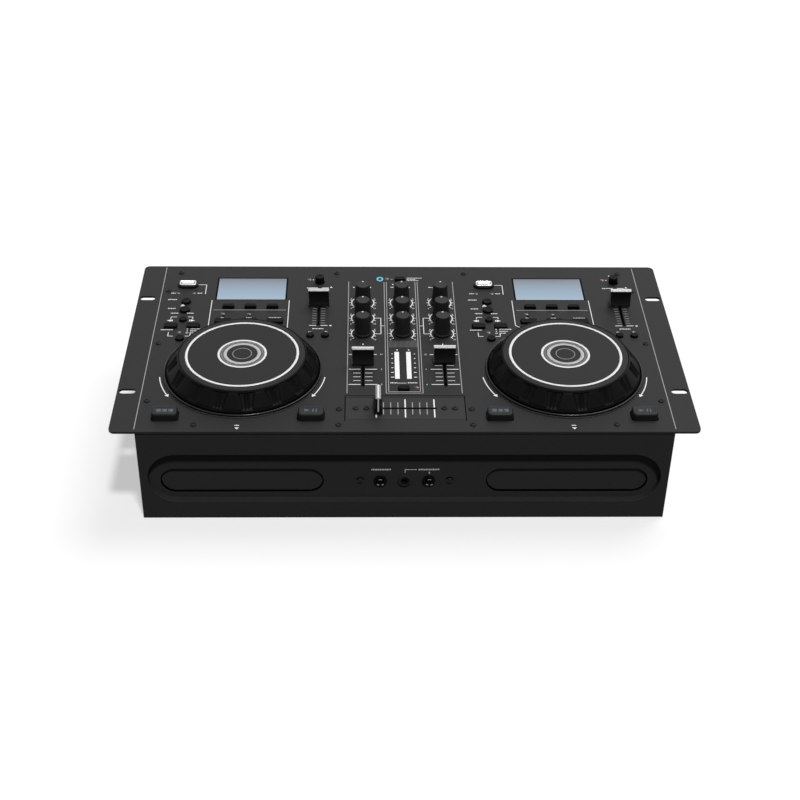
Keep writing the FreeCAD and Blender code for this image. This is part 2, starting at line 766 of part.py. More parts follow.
def front_panel():
    body = new_body("front_panel")
    skin_back = front_face + skin_thick
    skin = Drawing(body, "XZ_Plane", -skin_back)
    skin.rectangle(measured(0), case_height / 2, case_width, case_height)
    grow(body, skin, skin_thick)

    boss = Drawing(body, "XZ_Plane", -floor_back)
    boss.stadium(measured(0), recess_height, recess_length + 2 * skin_thick,
                 recess_width + 2 * skin_thick)
    grow(body, boss, recess_depth)

    recess = Drawing(body, "XZ_Plane", -front_face)
    recess.stadium(measured(0), recess_height, recess_length, recess_width)
    sink(body, recess, depth=recess_depth, taper=-recess_draft)

    mouths = Drawing(body, "XZ_Plane", -floor_back)
    for _, tray_x in tray_sides:
        mouths.stadium(tray_x, tray_height, opening_length, opening_width)
    for x, _ in jacks:
        mouths.circle(x, tray_height, bushing_radius + fit_gap)
    for side in both_sides:
        mouths.circle(jack_screw * side, tray_height, screw_hole)
    sink(body, mouths)

    ledge = Drawing(body, "XY_Plane", case_height)
    ledge_reach = flange_start_front - skin_back - slide_gap
    ledge.rectangle(measured(0), skin_back + ledge_reach / 2, flange_span, ledge_reach)
    grow(body, ledge, tab_thick, back=True)

    holes = Drawing(body, "XY_Plane", case_height)
    for x, y in panel_screws[5:]:
        for side in both_sides:
            holes.circle(x * side, y, screw_hole)
    sink(body, holes, depth=tab_thick)

    tabs = Drawing(body, "XY_Plane", tab_low)
    for side in both_sides:
        tabs.rectangle((flange_span - tab_thick) / 2 * side, skin_back + tab_reach / 2,
                       tab_thick, tab_reach)
    grow(body, tabs, case_height - tab_thick - tab_low)

    tab_holes = Drawing(body, "YZ_Plane")
    for height in tab_screw_heights:
        tab_holes.circle(front_tab_y, height, screw_hole)
    sink(body, tab_holes)
    return named(body, "front_panel")


# rear panel and what it carries: centres and cut-outs
rear_spread = size("socketHeight", 46, "middle of the rear sockets")
inlet_x = aside("inletX", 175, "mains inlet")
inlet_width = size("inletWidth", 27.4, "mains inlet body")
inlet_height = size("inletHeight", 20, "mains inlet body")
inlet_flange = size("inletFlange", 3, "its flange beyond the cut-out")
inlet_mouth_width = size("inletMouthWidth", 24.2, "mains inlet, inside")
inlet_mouth_height = size("inletMouthHeight", 16.4, "mains inlet, inside")
inlet_depth = size("inletDepth", 18, "mains inlet, inside")
inlet_body = size("inletBody", 24, "mains inlet behind the panel")
pin_step = size("pinStep", 7, "mains pins")
pin_drop = size("pinDrop", 2, "middle pin below the others")
pin_width = size("pinWidth", 2, "mains pin")
pin_height = size("pinHeight", 4, "mains pin")
pin_sink = size("pinSink", 5, "mains pins behind the mouth")
rocker_x = aside("rockerX", 140, "power rocker")
rocker_width = size("rockerWidth", 13, "power rocker frame, inside")
rocker_height = size("rockerHeight", 21, "power rocker frame, inside")
rocker_wall = size("rockerWall", 1.4, "power rocker frame")
rocker_depth = size("rockerDepth", 14, "power rocker frame behind the panel")
rocker_tilt = 9
balanced_xs = [aside("balancedLeft", -175, "balanced output"),
               aside("balancedRight", -140, "balanced output")]
cup_outer = size("cupOuter", 11.6, "balanced output, barrel radius")
cup_inner = size("cupInner", 9.4, "balanced output, inside radius")
cup_depth = size("cupDepth", 15, "balanced output, inside")
cup_length = size("cupLength", 18, "balanced output behind the panel")
cup_plate = size("cupPlate", 27, "balanced output, square flange")
contact_radius = size("contactRadius", 1.2, "its pins")
contact_ring = size("contactRing", 4.2, "its pins from their middle")
phono_start = aside("phonoStart", -95, "first pair of phono sockets")
phono_step = size("phonoStep", 18, "phono sockets")
phono_rise = size("phonoRise", 9, "phono sockets above and below the middle")
phono_count = 3
phono_radius = size("phonoRadius", 4.1, "phono socket")
phono_neck = size("phonoNeck", 3.7, "phono socket through the panel")
phono_bore = size("phonoBore", 1.6, "phono socket, inside")
phono_length = size("phonoLength", 7, "phono socket outside the panel")
phono_body = size("phonoBody", 10, "phono socket behind the panel")
earth_x = aside("earthX", 205, "earth post")
earth_radius = size("earthRadius", 3, "earth post, head")
socket_flange = size("socketFlange", 1.5, "thickness of the flanges on the rear face")


def rear_panel():
    """A sheet that closes the case, with a flange at the top and a tab at each side."""
    body = new_body("rear_panel")
    inside = rear_face - sheet_thick
    face = Drawing(body, "XZ_Plane", -rear_face)
    face.rectangle(measured(0), case_height / 2, case_width, case_height)
    grow(body, face, sheet_thick)

    ledge_reach = inside - flange_start_rear - slide_gap
    ledge = Drawing(body, "XY_Plane", case_height)
    ledge.rectangle(measured(0), inside - ledge_reach / 2, flange_span, ledge_reach)
    grow(body, ledge, sheet_thick, back=True)

    holes = Drawing(body, "XY_Plane", case_height)
    for x, y in panel_screws[:2]:
        for side in both_sides:
            holes.circle(x * side, y, screw_hole)
    sink(body, holes, depth=sheet_thick)

    tabs = Drawing(body, "XY_Plane", tab_low)
    for side in both_sides:
        tabs.rectangle((flange_span - sheet_thick) / 2 * side, inside - tab_reach / 2,
                       sheet_thick, tab_reach)
    grow(body, tabs, case_height - sheet_thick - tab_low)
    tab_holes = Drawing(body, "YZ_Plane")
    for height in tab_screw_heights:
        tab_holes.circle(rear_tab_y, height, screw_hole)
    sink(body, tab_holes)

    openings = Drawing(body, "XZ_Plane", -rear_face)
    openings.rectangle(inlet_x, rear_spread, inlet_width + 2 * fit_gap,
                       inlet_height + 2 * fit_gap)
    openings.rectangle(rocker_x, rear_spread, rocker_width + 2 * (rocker_wall + fit_gap),
                       rocker_height + 2 * (rocker_wall + fit_gap))
    for x in balanced_xs:
        openings.circle(x, rear_spread, cup_outer + fit_gap)
    for pair in range(phono_count):
        for side in both_sides:
            openings.circle(phono_start + phono_step * pair,
                            rear_spread + phono_rise * side, phono_neck + fit_gap)
    openings.circle(earth_x, rear_spread, screw_hole)
    sink(body, openings)
    return named(body, "rear_panel")


def rear_connectors():
    """Mains inlet, rocker frame, balanced and phono outputs and the earth post."""
    solids = []
    lip_y = rear_face + socket_flange / 2
    inlet = fuse([
        block(inlet_x, lip_y, rear_spread - inlet_height / 2 - inlet_flange,
              inlet_width + 2 * inlet_flange, socket_flange,
              inlet_height + 2 * inlet_flange),
        block(inlet_x, rear_face - inlet_body / 2, rear_spread - inlet_height / 2,
              inlet_width, inlet_body, inlet_height)])
    mouth_y = rear_face + socket_flange - inlet_depth / 2
    cavity = block(inlet_x, mouth_y, rear_spread - inlet_mouth_height / 2,
                   inlet_mouth_width, inlet_depth, inlet_mouth_height)
    pins = []
    pin_length = inlet_depth - pin_sink
    for step, drop in ((-1, 0), (0, 1), (1, 0)):
        pins.append(block(inlet_x + pin_step * step,
                          rear_face + socket_flange - pin_sink - pin_length / 2,
                          rear_spread - pin_drop * drop - pin_height / 2,
                          pin_width, pin_length, pin_height))
    solids.append(fuse([cut(inlet, [cavity])] + pins))

    frame_width = rocker_width + 2 * rocker_wall
    frame_height = rocker_height + 2 * rocker_wall
    frame = fuse([
        block(rocker_x, lip_y, rear_spread - frame_height / 2 - rocker_wall,
              frame_width + 2 * rocker_wall, socket_flange, frame_height + 2 * rocker_wall),
        block(rocker_x, rear_face - rocker_depth / 2, rear_spread - frame_height / 2,
              frame_width, rocker_depth, frame_height)])
    well = block(rocker_x, rear_face + socket_flange - (rocker_depth - rocker_wall) / 2,
                 rear_spread - rocker_height / 2, rocker_width,
                 rocker_depth - rocker_wall, rocker_height)
    solids.append(cut(frame, [well]))

    for x in balanced_xs:
        mouth = rear_face + socket_flange
        shell = fuse([
            block(x, lip_y, rear_spread - cup_plate / 2, cup_plate, socket_flange, cup_plate),
            rod(x, rear_face, rear_spread, cup_outer, cup_length, (0, -1, 0))])
        hollow = rod(x, mouth, rear_spread, cup_inner, cup_depth, (0, -1, 0))
        floor_y = mouth - cup_depth
        contacts = [rod(x + contact_ring * dx, floor_y, rear_spread + contact_ring * dz,
                        contact_radius, cup_depth - pin_sink, (0, 1, 0))
                    for dx, dz in ((-0.87, 0.5), (0.87, 0.5), (0, -1))]
        solids.append(fuse([cut(shell, [hollow])] + contacts))

    for pair in range(phono_count):
        for side in both_sides:
            x = phono_start + phono_step * pair
            z = rear_spread + phono_rise * side
            barrel = rod(x, rear_face, z, phono_radius, phono_length, (0, 1, 0))
            neck = rod(x, rear_face, z, phono_neck, sheet_thick, (0, -1, 0))
            bore = rod(x, rear_face + phono_length, z, phono_bore, phono_length, (0, -1, 0))
            case = block(x, rear_face - sheet_thick - phono_body / 2,
                         z - phono_radius - housing_wall, 2 * (phono_radius + housing_wall),
                         phono_body, 2 * (phono_radius + housing_wall))
            solids.append(cut(fuse([barrel, neck, case]), [bore]))

    solids.append(fuse([
        rod(earth_x, rear_face, rear_spread, screw_shank, screw_length, (0, -1, 0)),
        rod(earth_x, rear_face, rear_spread, earth_radius, phono_length, (0, 1, 0))]))
    return named(group(solids), "rear_connectors")


def crossfader_plate():
    body = new_body("crossfader_plate")
    plate = Drawing(body, "XY_Plane", plate_under)
    plate.rectangle(measured(0), cross_y, cross_width, cross_depth)
    grow(body, plate, plate_thick)
    ledge = Drawing(body, "XY_Plane", plate_under)
    ledge.rectangle(measured(0), cross_y, cross_width + 2 * cross_lip,
                    cross_depth + 2 * cross_lip)
    grow(body, ledge, cross_lip_thick, back=True)
    holes = Drawing(body, "XY_Plane", plate_under)
    fader_slot(holes, measured(0), cross_y, cross_travel, across_x=True)
    for x in cross_screws:
        for side in both_sides:
            holes.circle(x * side, cross_y, screw_hole)
    sink(body, holes)
    return named(body, "crossfader_plate")


def screw(x, y, z, axis=(0, 0, -1)):
    """A pan head screw whose head sits at a point and whose shank runs along an axis."""
    back = tuple(-value for value in axis)
    return fuse([rod(x, y, z, screw_shank, screw_length, axis),
                 rod(x, y, z, screw_head, screw_head_rise, back)])


def machine_screws():
    screws = []
    for side in both_sides:
        for x, y in panel_screws + [board_screw]:
            screws.append(screw(x * side, y, plate_top))
        for x in cross_screws:
            screws.append(screw(x * side, cross_y, plate_top))
        screws.append(screw(jack_screw * side, floor_face, tray_height, (0, 1, 0)))
        for y in (front_tab_y, rear_tab_y):
            for height in tab_screw_heights:
                screws.append(screw(case_width / 2 * side, y, height, (-side, 0, 0)))
    return named(group(screws), "machine_screws")


# ---------------------------------------------------------------- jog wheels

ring_radius = size("ringRadius", 67.5, "seat of a jog wheel") * least
ring_wall = size("ringWall", 1.6, "rim of the seat")
ring_rise = size("ringRise", 3, "rim of the seat above the panel")
ring_floor = size("ringFloor", 1.4, "floor of the seat")
spigot_radius = size("spigotRadius", 12, "seat through the panel")
spigot_depth = size("spigotDepth", 6, "seat under the panel")
post_radius = size("postRadius", 6, "post that the wheel turns on")
wheel_foot = size("wheelFoot", 64.8, "radius at the foot of the rubber") * least
wheel_foot_rise = size("wheelFootRise", 2.4, "upright edge at the foot")
wheel_crown = size("wheelCrown", 54.6, "radius at the top of the rubber") * least
wheel_rise = size("wheelRise", 18, "top of the wheel above the panel")
wheel_wall = size("wheelWall", 3, "wall of the wheel")
hub_radius = size("hubRadius", 10, "hub of the wheel")
disc_radius = size("discRadius", 53.4, "metal top disc") * least
disc_thick = size("discThick", 2, "metal top disc")
flute_count = 16
flute_angle = 9
rib_angle = 2.4
flute_depth = size("fluteDepth", 1.1, "flutes in the rubber")
flute_margin = size("fluteMargin", 1.6, "plain rubber above and below a flute")

wheel_bottom = plate_top + ring_floor + slide_gap
wheel_top = plate_top + wheel_rise
disc_seat = wheel_top - disc_thick
hub_roof = disc_seat - wheel_wall
post_top = hub_roof - slide_gap


def jog_base_rings():
    """The dished seat under each wheel, with its post and the spigot through the panel."""
    seats = []
    rim_inner = ring_radius - ring_wall
    for name, jog_x in deck_sides:
        body = new_body("jog_seat_" + name)
        place(body, jog_x, jog_y)
        turn_profile(body, [
            (0, plate_top - spigot_depth), (spigot_radius, plate_top - spigot_depth),
            (spigot_radius, plate_top), (ring_radius, plate_top),
            (ring_radius, plate_top + ring_rise), (rim_inner, plate_top + ring_rise),
            (rim_inner, plate_top + ring_floor), (post_radius, plate_top + ring_floor),
            (post_radius, post_top), (0, post_top)])
        seats.append(body)
    return named(group(seats), "jog_base_rings")


def flank_radius(height):
    """Radius of the rubber flank at a height above the wheel's foot."""
    span = wheel_top - wheel_bottom - wheel_foot_rise
    return wheel_foot - (wheel_foot - wheel_crown) * (height - wheel_foot_rise) / span


def jog_wheel(side, jog_x):
    """A hollow wheel with a conical rubber flank, fluted all round."""
    body = new_body("jog_wheel_" + side)
    place(body, jog_x, jog_y)
    bore = post_radius + pin_gap
    inner_foot = wheel_foot - wheel_wall
    inner_crown = wheel_crown - wheel_wall
    turn_profile(body, [
        (bore, wheel_bottom), (hub_radius, wheel_bottom), (hub_radius, hub_roof),
        (inner_crown, hub_roof), (inner_foot, wheel_bottom + wheel_foot_rise),
        (inner_foot, wheel_bottom), (wheel_foot, wheel_bottom),
        (wheel_foot, wheel_bottom + wheel_foot_rise), (wheel_crown, wheel_top),
        (disc_radius + fit_gap, wheel_top), (disc_radius + fit_gap, disc_seat),
        (0, disc_seat), (0, hub_roof), (bore, hub_roof)])

    low = wheel_foot_rise + flute_margin
    high = wheel_top - wheel_bottom - flute_margin
    flank = [(flank_radius(low) - flute_depth, wheel_bottom + low),
             (flank_radius(low) + flute_depth, wheel_bottom + low),
             (flank_radius(high) + flute_depth, wheel_bottom + high),
             (flank_radius(high) - flute_depth, wheel_bottom + high)]
    band = Drawing(body, "XZ_Plane")
    band.outline(flank)
    flute = body.newObject("PartDesign::Groove", body.Label + "_flute")
    flute.Profile = band.done()
    flute.ReferenceAxis = (flute.Profile[0], ["V_Axis"])
    flute.Angle = flute_angle
    flute.Midplane = True

    crest = Drawing(body, "XZ_Plane")
    crest.outline([flank[0], (flank_radius(low), wheel_bottom + low),
                   (flank_radius(high), wheel_bottom + high), flank[3]])
    rib = body.newObject("PartDesign::Revolution", body.Label + "_rib")
    rib.Profile = crest.done()
    rib.ReferenceAxis = (rib.Profile[0], ["V_Axis"])
    rib.Angle = rib_angle
    rib.Midplane = True

    flutes = body.newObject("PartDesign::PolarPattern", body.Label + "_flutes")
    flutes.Originals = [flute, rib]
    flutes.Axis = (flute.Profile[0], ["V_Axis"])
    flutes.Angle = 360
    flutes.Occurrences = flute_count
    body.Tip = flutes
    return named(body, "jog_wheel_" + side)


def jog_top_disc(side, jog_x):
    disc = rod(jog_x, jog_y, disc_seat, disc_radius, disc_thick)
    return named(disc, "jog_top_disc_" + side)


# ---------------------------------------------------------------- disc loaders

tray_thick = size("trayThick", 6, "disc tray")
tray_length = size("trayLength", 172, "disc tray")
tray_corner = size("trayCorner", 8, "rear corners of the tray")
tray_drop = size("trayDrop", 4.3, "underside of the tray below the middle of its cover")
disc_setback = size("discSetback", 68, "middle of the disc behind the cover")
well_margin = size("wellMargin", 3.6, "well for a disc inside each side of the tray")
disc_well = tray_width / 2 - well_margin
disc_well_depth = size("discWellDepth", 1.8, "well for a disc")
small_well = size("smallWell", 40.4, "radius of the well for a small disc")
small_well_depth = size("smallWellDepth", 2.8, "well for a small disc")
tray_slot = size("traySlot", 30, "opening over the spindle and the pickup")
rail_reach = size("railReach", 2.5, "side rails of the tray")
rail_thick = size("railThick", 2, "side rails of the tray")
rail_rise = size("railRise", 2, "side rails above the tray's underside")
cover_thick = size("coverThick", 4, "tray cover")
cover_sink = size("coverSink", 1.5, "tray cover behind the recess floor")

cover_face = floor_face + cover_sink
tray_front_y = cover_face + cover_thick
tray_rear_y = tray_front_y + tray_length
tray_under = tray_height - tray_drop
tray_top = tray_under + tray_thick
spindle_y = tray_front_y + disc_setback

loader_wall = size("loaderWall", 5.5, "side walls of the loader")
loader_floor_height = size("loaderFloorHeight", 14, "loader above the underside of the case")
loader_floor_thick = size("loaderFloorThick", 2, "floor of the loader")
loader_top = size("loaderTop", 44.5, "top of its side walls")
loader_front = tray_front_y + size("loaderFrontGap", 2.5, "loader behind the tray cover")
loader_rear = tray_rear_y + size("loaderRearGap", 5.5, "loader behind the tray's rear end")
foot_radius = size("footRadius", 4, "feet of the loader")
foot_inset = size("footInset", 8, "feet from its edges")
bridge_depth = size("bridgeDepth", 34, "clamp bridge, front to rear")
bridge_thick = size("bridgeThick", 2, "clamp bridge")
puck_radius = size("puckRadius", 15, "disc clamp")
puck_drop = size("puckDrop", 2, "disc clamp under its bridge")
motor_radius = size("motorRadius", 14, "spindle motor")
motor_height = size("motorHeight", 12, "spindle motor")
axle_radius = size("axleRadius", 4, "spindle")
platter_radius = size("platterRadius", 12, "spindle platter")
platter_thick = size("platterThick", 2.5, "spindle platter")
nose_radius = size("noseRadius", 7.3, "spindle nose in the disc's hole")
nose_height = size("noseHeight", 2.5, "spindle nose")
platter_gap = size("platterGap", 2, "platter top below the disc well")
sled_width = size("sledWidth", 22, "pickup sled")
sled_length = size("sledLength", 30, "pickup sled")
sled_setback = size("sledSetback", 34, "pickup behind the spindle")
sled_top_gap = size("sledTopGap", 3, "pickup below the tray's top")
rail_radius = size("railRadius", 1.5, "guide rods of the pickup")
rail_spread = size("railSpread", 18, "guide rods beside the spindle")
rail_height = size("railHeight", 22, "guide rods")
rod_start = size("rodStart", 18, "guide rods, front end behind the spindle")
rod_end = size("rodEnd", 78, "guide rods, rear end behind the spindle")
bearer_thick = size("bearerThick", 4, "blocks that hold the guide rods")


def disc_tray(side, tray_x):
    """A moulded tray with a stepped well, a slot for the pickup and a rail each side."""
    body = new_body("disc_tray_" + side)
    place(body, tray_x)
    half = tray_width / 2
    outline = Drawing(body, "XY_Plane", tray_under)
    outline.outline([(-half, tray_front_y), (half, tray_front_y),
                     (half, tray_rear_y - tray_corner, tray_corner),
                     (half - tray_corner, tray_rear_y),
                     (-half + tray_corner, tray_rear_y, tray_corner),
                     (-half, tray_rear_y - tray_corner)])
    grow(body, outline, tray_thick)

    rails = Drawing(body, "XY_Plane", tray_under + rail_rise)
    for rail_side in both_sides:
        rails.rectangle(half * rail_side, (tray_front_y + tray_rear_y - tray_corner) / 2,
                        2 * rail_reach, tray_length - tray_corner)
    grow(body, rails, rail_thick)

    for radius, depth in ((disc_well, disc_well_depth), (small_well, small_well_depth)):
        well = Drawing(body, "XY_Plane", tray_top)
        well.circle(0, spindle_y, radius)
        sink(body, well, depth=depth)

    slot_half = tray_slot / 2
    slot = Drawing(body, "XY_Plane", tray_top)
    slot.outline([(-slot_half, spindle_y, slot_half), (0, spindle_y - slot_half, slot_half),
                  (slot_half, spindle_y), (slot_half, tray_rear_y + slide_gap),
                  (-slot_half, tray_rear_y + slide_gap)])
    sink(body, slot)
    return named(body, "disc_tray_" + side)


def tray_front(side, tray_x):
    """The rounded cover that closes the tray's opening."""
    body = new_body("tray_front_" + side)
    cover = Drawing(body, "XZ_Plane", -tray_front_y)
    cover.stadium(tray_x, tray_height, cover_length, opening_width - 2 * tray_gap)
    grow(body, cover, cover_thick)
    return named(body, "tray_front_" + side)


def disc_loader(side, tray_x):
    """Grooved side walls on a floor, a clamp bridge, the spindle and the pickup sled."""
    channel = new_body("loader_channel_" + side)
    place(channel, tray_x)
    inner = tray_width / 2 + slide_gap
    outer = inner + loader_wall
    groove = tray_width / 2 + rail_reach + slide_gap
    groove_low = tray_under + rail_rise - slide_gap
    groove_high = tray_under + rail_rise + rail_thick + slide_gap
    floor_top = loader_floor_height + loader_floor_thick
    right_wall = [(outer, loader_floor_height), (outer, loader_top), (inner, loader_top),
                  (inner, groove_high), (groove, groove_high), (groove, groove_low),
                  (inner, groove_low), (inner, floor_top)]
    left_wall = [(-x, z) for x, z in reversed(right_wall)]
    profile = Drawing(channel, "XZ_Plane", -loader_rear)
    profile.outline(right_wall + left_wall)
    grow(channel, profile, loader_rear - loader_front)

    solids = [channel]
    for x_side in both_sides:
        for y in (loader_front + foot_inset, loader_rear - foot_inset):
            solids.append(rod(tray_x + (outer - foot_inset) * x_side, y, sheet_thick,
                              foot_radius, loader_floor_height - sheet_thick))

    solids.append(block(tray_x, spindle_y, loader_top, 2 * outer, bridge_depth, bridge_thick))
    solids.append(rod(tray_x, spindle_y, loader_top - puck_drop, puck_radius, puck_drop))

    platter_top = tray_top - disc_well_depth - platter_gap
    platter_under = platter_top - platter_thick
    solids.append(rod(tray_x, spindle_y, floor_top, motor_radius, motor_height))
    solids.append(rod(tray_x, spindle_y, floor_top + motor_height, axle_radius,
                      platter_under - floor_top - motor_height))
    solids.append(rod(tray_x, spindle_y, platter_under, platter_radius, platter_thick))
    solids.append(rod(tray_x, spindle_y, platter_top, nose_radius, nose_height))

    sled_y = spindle_y + sled_setback
    sled_top = tray_top - sled_top_gap
    skirt = rail_spread + rail_radius + housing_wall
    solids.append(block(tray_x, sled_y, rail_height, sled_width, sled_length,
                        sled_top - rail_height))
    solids.append(block(tray_x, sled_y, rail_height - rail_radius - housing_wall, 2 * skirt,
                        sled_length, 2 * (rail_radius + housing_wall)))
    for x_side in both_sides:
        solids.append(rod(tray_x + rail_spread * x_side, spindle_y + rod_start, rail_height,
                          rail_radius, rod_end - rod_start, (0, 1, 0)))
    for y in (rod_start, rod_end):
        solids.append(block(tray_x, spindle_y + y, floor_top, 2 * skirt, bearer_thick,
                            rail_height + rail_radius + housing_wall - floor_top))
    return named(fuse(solids), "disc_loader_" + side)


# ---------------------------------------------------------------- panel inserts

def lcd_windows():
    windows = []
    for _, jog_x in deck_sides:
        x, y = jog_x + display_x, jog_y + display_y
        glass = block(x, y, plate_under, display_width, display_depth,
                      plate_thick - display_sink)
        module = block(x, y, plate_under - display_thick, display_width + 2 * display_side,
                       display_depth + 2 * display_edge, display_thick)
        windows.append(fuse([glass, module]))
    return named(group(windows), "lcd_windows")


def front_jacks():
    """Bushings through the recess floor, each with a ring nut outside."""
    solids = []
    for x, bore in jacks:
        barrel = rod(x, floor_face, tray_height, bushing_radius, skin_thick, (0, 1, 0))
        nut = rod(x, floor_face, tray_height, nut_radius, nut_thick, (0, -1, 0))
        case = block(x, floor_back + jack_length / 2, tray_height - jack_side / 2,
                     jack_side, jack_length, jack_side)
        hollow = rod(x, floor_face - nut_thick, tray_height, bore, jack_bore, (0, 1, 0))
        solids.append(cut(fuse([barrel, nut, case]), [hollow]))
    return named(group(solids), "front_jacks")


def usb_sockets():
    """Upright sockets on the control board, each with a moulded surround on the panel."""
    sockets = []
    for _, jog_x in deck_sides:
        x, y = jog_x + column, jog_y + usb_y
        rim = new_body("usb_surround")
        place(rim, x, y)
        outline = Drawing(rim, "XY_Plane", plate_top)
        outline.stadium(measured(0), measured(0), surround_length, surround_width)
        outline.rectangle(measured(0), measured(0), shell_width, shell_depth)
        grow(rim, outline, surround_rise)
        mouth = plate_top + surround_rise
        shell = block(x, y, board_top, shell_width, shell_depth, mouth - board_top)
        hollow = block(x, y, board_top + usb_base, shell_width - 2 * shell_wall,
                       shell_depth - 2 * shell_wall, mouth - board_top - usb_base)
        tongue = block(x, y + tongue_back, board_top + usb_base, tongue_width, tongue_thick,
                       mouth - tongue_sink - board_top - usb_base)
        sockets.append(fuse([rim, cut(shell, [hollow]), tongue]))
    return named(group(sockets), "usb_sockets")


def level_meter():
    bars = []
    for side in both_sides:
        bars.append(block(meter_shift + meter_x * side, meter_y, plate_under, meter_bar,
                          meter_length, plate_thick - meter_sink))
    module = block(meter_shift, meter_y, plate_under - meter_thick, meter_width,
                   meter_length + 2 * housing_wall, meter_thick)
    return named(fuse(bars + [module]), "level_meter")


def indicator_lenses():
    """Lamps under the panel, each with a lens through it."""
    spots = list(mixer_lenses)
    for _, jog_x in deck_sides:
        spots += [(jog_x + x, jog_y + y) for x, y in deck_lenses]
    lamps = []
    for x, y in spots:
        lamps.append(fuse([
            rod(x, y, plate_under, lens_radius, plate_thick + lens_rise),
            rod(x, y, plate_under - lamp_depth, lamp_radius, lamp_depth)]))
    return named(group(lamps), "indicator_lenses")


# ---------------------------------------------------------------- faders and knobs

blade_foot = board_top + housing_wall + slide_gap
pot_top = board_top + pot_height


def fader(node, x, y, travel_along_x=False):
    """A cap with a crest and hollow flanks, on the blade that runs in its slot."""
    body = new_body(node)
    turn = FreeCAD.Rotation(FreeCAD.Vector(0, 0, 1), 90 if travel_along_x else 0)
    place(body, x, y, turn=turn)
    low = plate_top + fader_lift
    shelf = low + fader_foot_thick
    high = low + fader_height
    profile = Drawing(body, "YZ_Plane", fader_length / -2)
    profile.outline([(fader_foot / -2, low), (fader_foot / 2, low),
                     (fader_foot / 2, shelf, fader_hollow, "hollow"),
                     (fader_crest / 2, high),
                     (fader_crest / -2, high, fader_hollow, "hollow"),
                     (fader_foot / -2, shelf)])
    grow(body, profile, fader_length)
    blade = Drawing(body, "XY_Plane", low)
    blade.rectangle(measured(0), measured(0), blade_thick, blade_width)
    grow(body, blade, low - blade_foot, back=True)
    return named(body, node)


def knob(node, x, y):
    """A tapered knob on its shaft."""
    body = new_body(node)
    place(body, x, y)
    foot = plate_top + knob_lift
    turn_profile(body, [(0, pot_top + slide_gap), (shaft_radius, pot_top + slide_gap),
                        (shaft_radius, foot), (knob_foot, foot),
                        (knob_crown, foot + knob_height), (0, foot + knob_height)])
    return named(body, node)


rocker_slack = size("rockerSlack", 1.2, "rocker ends from its frame")
rocker_back = size("rockerBack", 2.4, "pivot of the rocker inside the rear face")
rocker_belly = size("rockerBelly", 4, "half thickness of the rocker")
rocker_dish = size("rockerDish", 1.2, "hollow of the rocker's face")


def power_rocker():
    """A dished rocker that tips about the middle line of its frame."""
    body = new_body("power_rocker")
    place(body, rocker_x, rear_face - rocker_back, rear_spread,
          FreeCAD.Rotation(FreeCAD.Vector(1, 0, 0), rocker_tilt))
    width = rocker_width - 2 * slide_gap
    half = rocker_height / 2 - rocker_slack
    profile = Drawing(body, "YZ_Plane", width / -2)
    profile.outline([(-rocker_belly, -half), (rocker_belly, -half),
                     (rocker_belly - rocker_dish, 0), (rocker_belly, half),
                     (-rocker_belly, half)])
    grow(body, profile, width)
    return named(body, "power_rocker")


# ---------------------------------------------------------------- inside

board_inset = size("boardInset", 8, "control board inside the case")
board_width = case_width - 2 * board_inset
board_front = along("boardFront", -112.5, "front edge of the control board")
board_rear = along("boardRear", 104, "rear edge of the control board")
standoff_radius = size("standoffRadius", 3, "pillars from the board to the panel")
standoffs = [(aside("outerStandoffX", 203, "outer pillars"),
              along("outerStandoffY", -30, "outer pillars")),
             (aside("rearStandoffX", 91.3, "rear pillars"),
              along("rearStandoffY", 97, "rear pillars"))]
bracket_inset = size("bracketInset", 2.5, "bracket inside the ends of the crossfader plate")
cross_bracket = cross_width - 2 * bracket_inset
cross_bracket_thick = size("crossBracketThick", 2, "bracket under the crossfader plate")


def fader_track(x, y, travel, across_x=False, top=plate_under):
    """An open channel under the panel for a fader's blade."""
    length = travel + blade_width + 2 * (slot_gap + housing_wall)
    height = top - board_top
    inner_width = housing_width - 2 * housing_wall
    inner_length = length - 2 * housing_wall
    floor = board_top + housing_wall
    if across_x:
        body = block(x, y, board_top, length, housing_width, height)
        hollow = block(x, y, floor, inner_length, inner_width, height - housing_wall)
    else:
        body = block(x, y, board_top, housing_width, length, height)
        hollow = block(x, y, floor, inner_width, inner_length, height - housing_wall)
    return cut(body, [hollow])


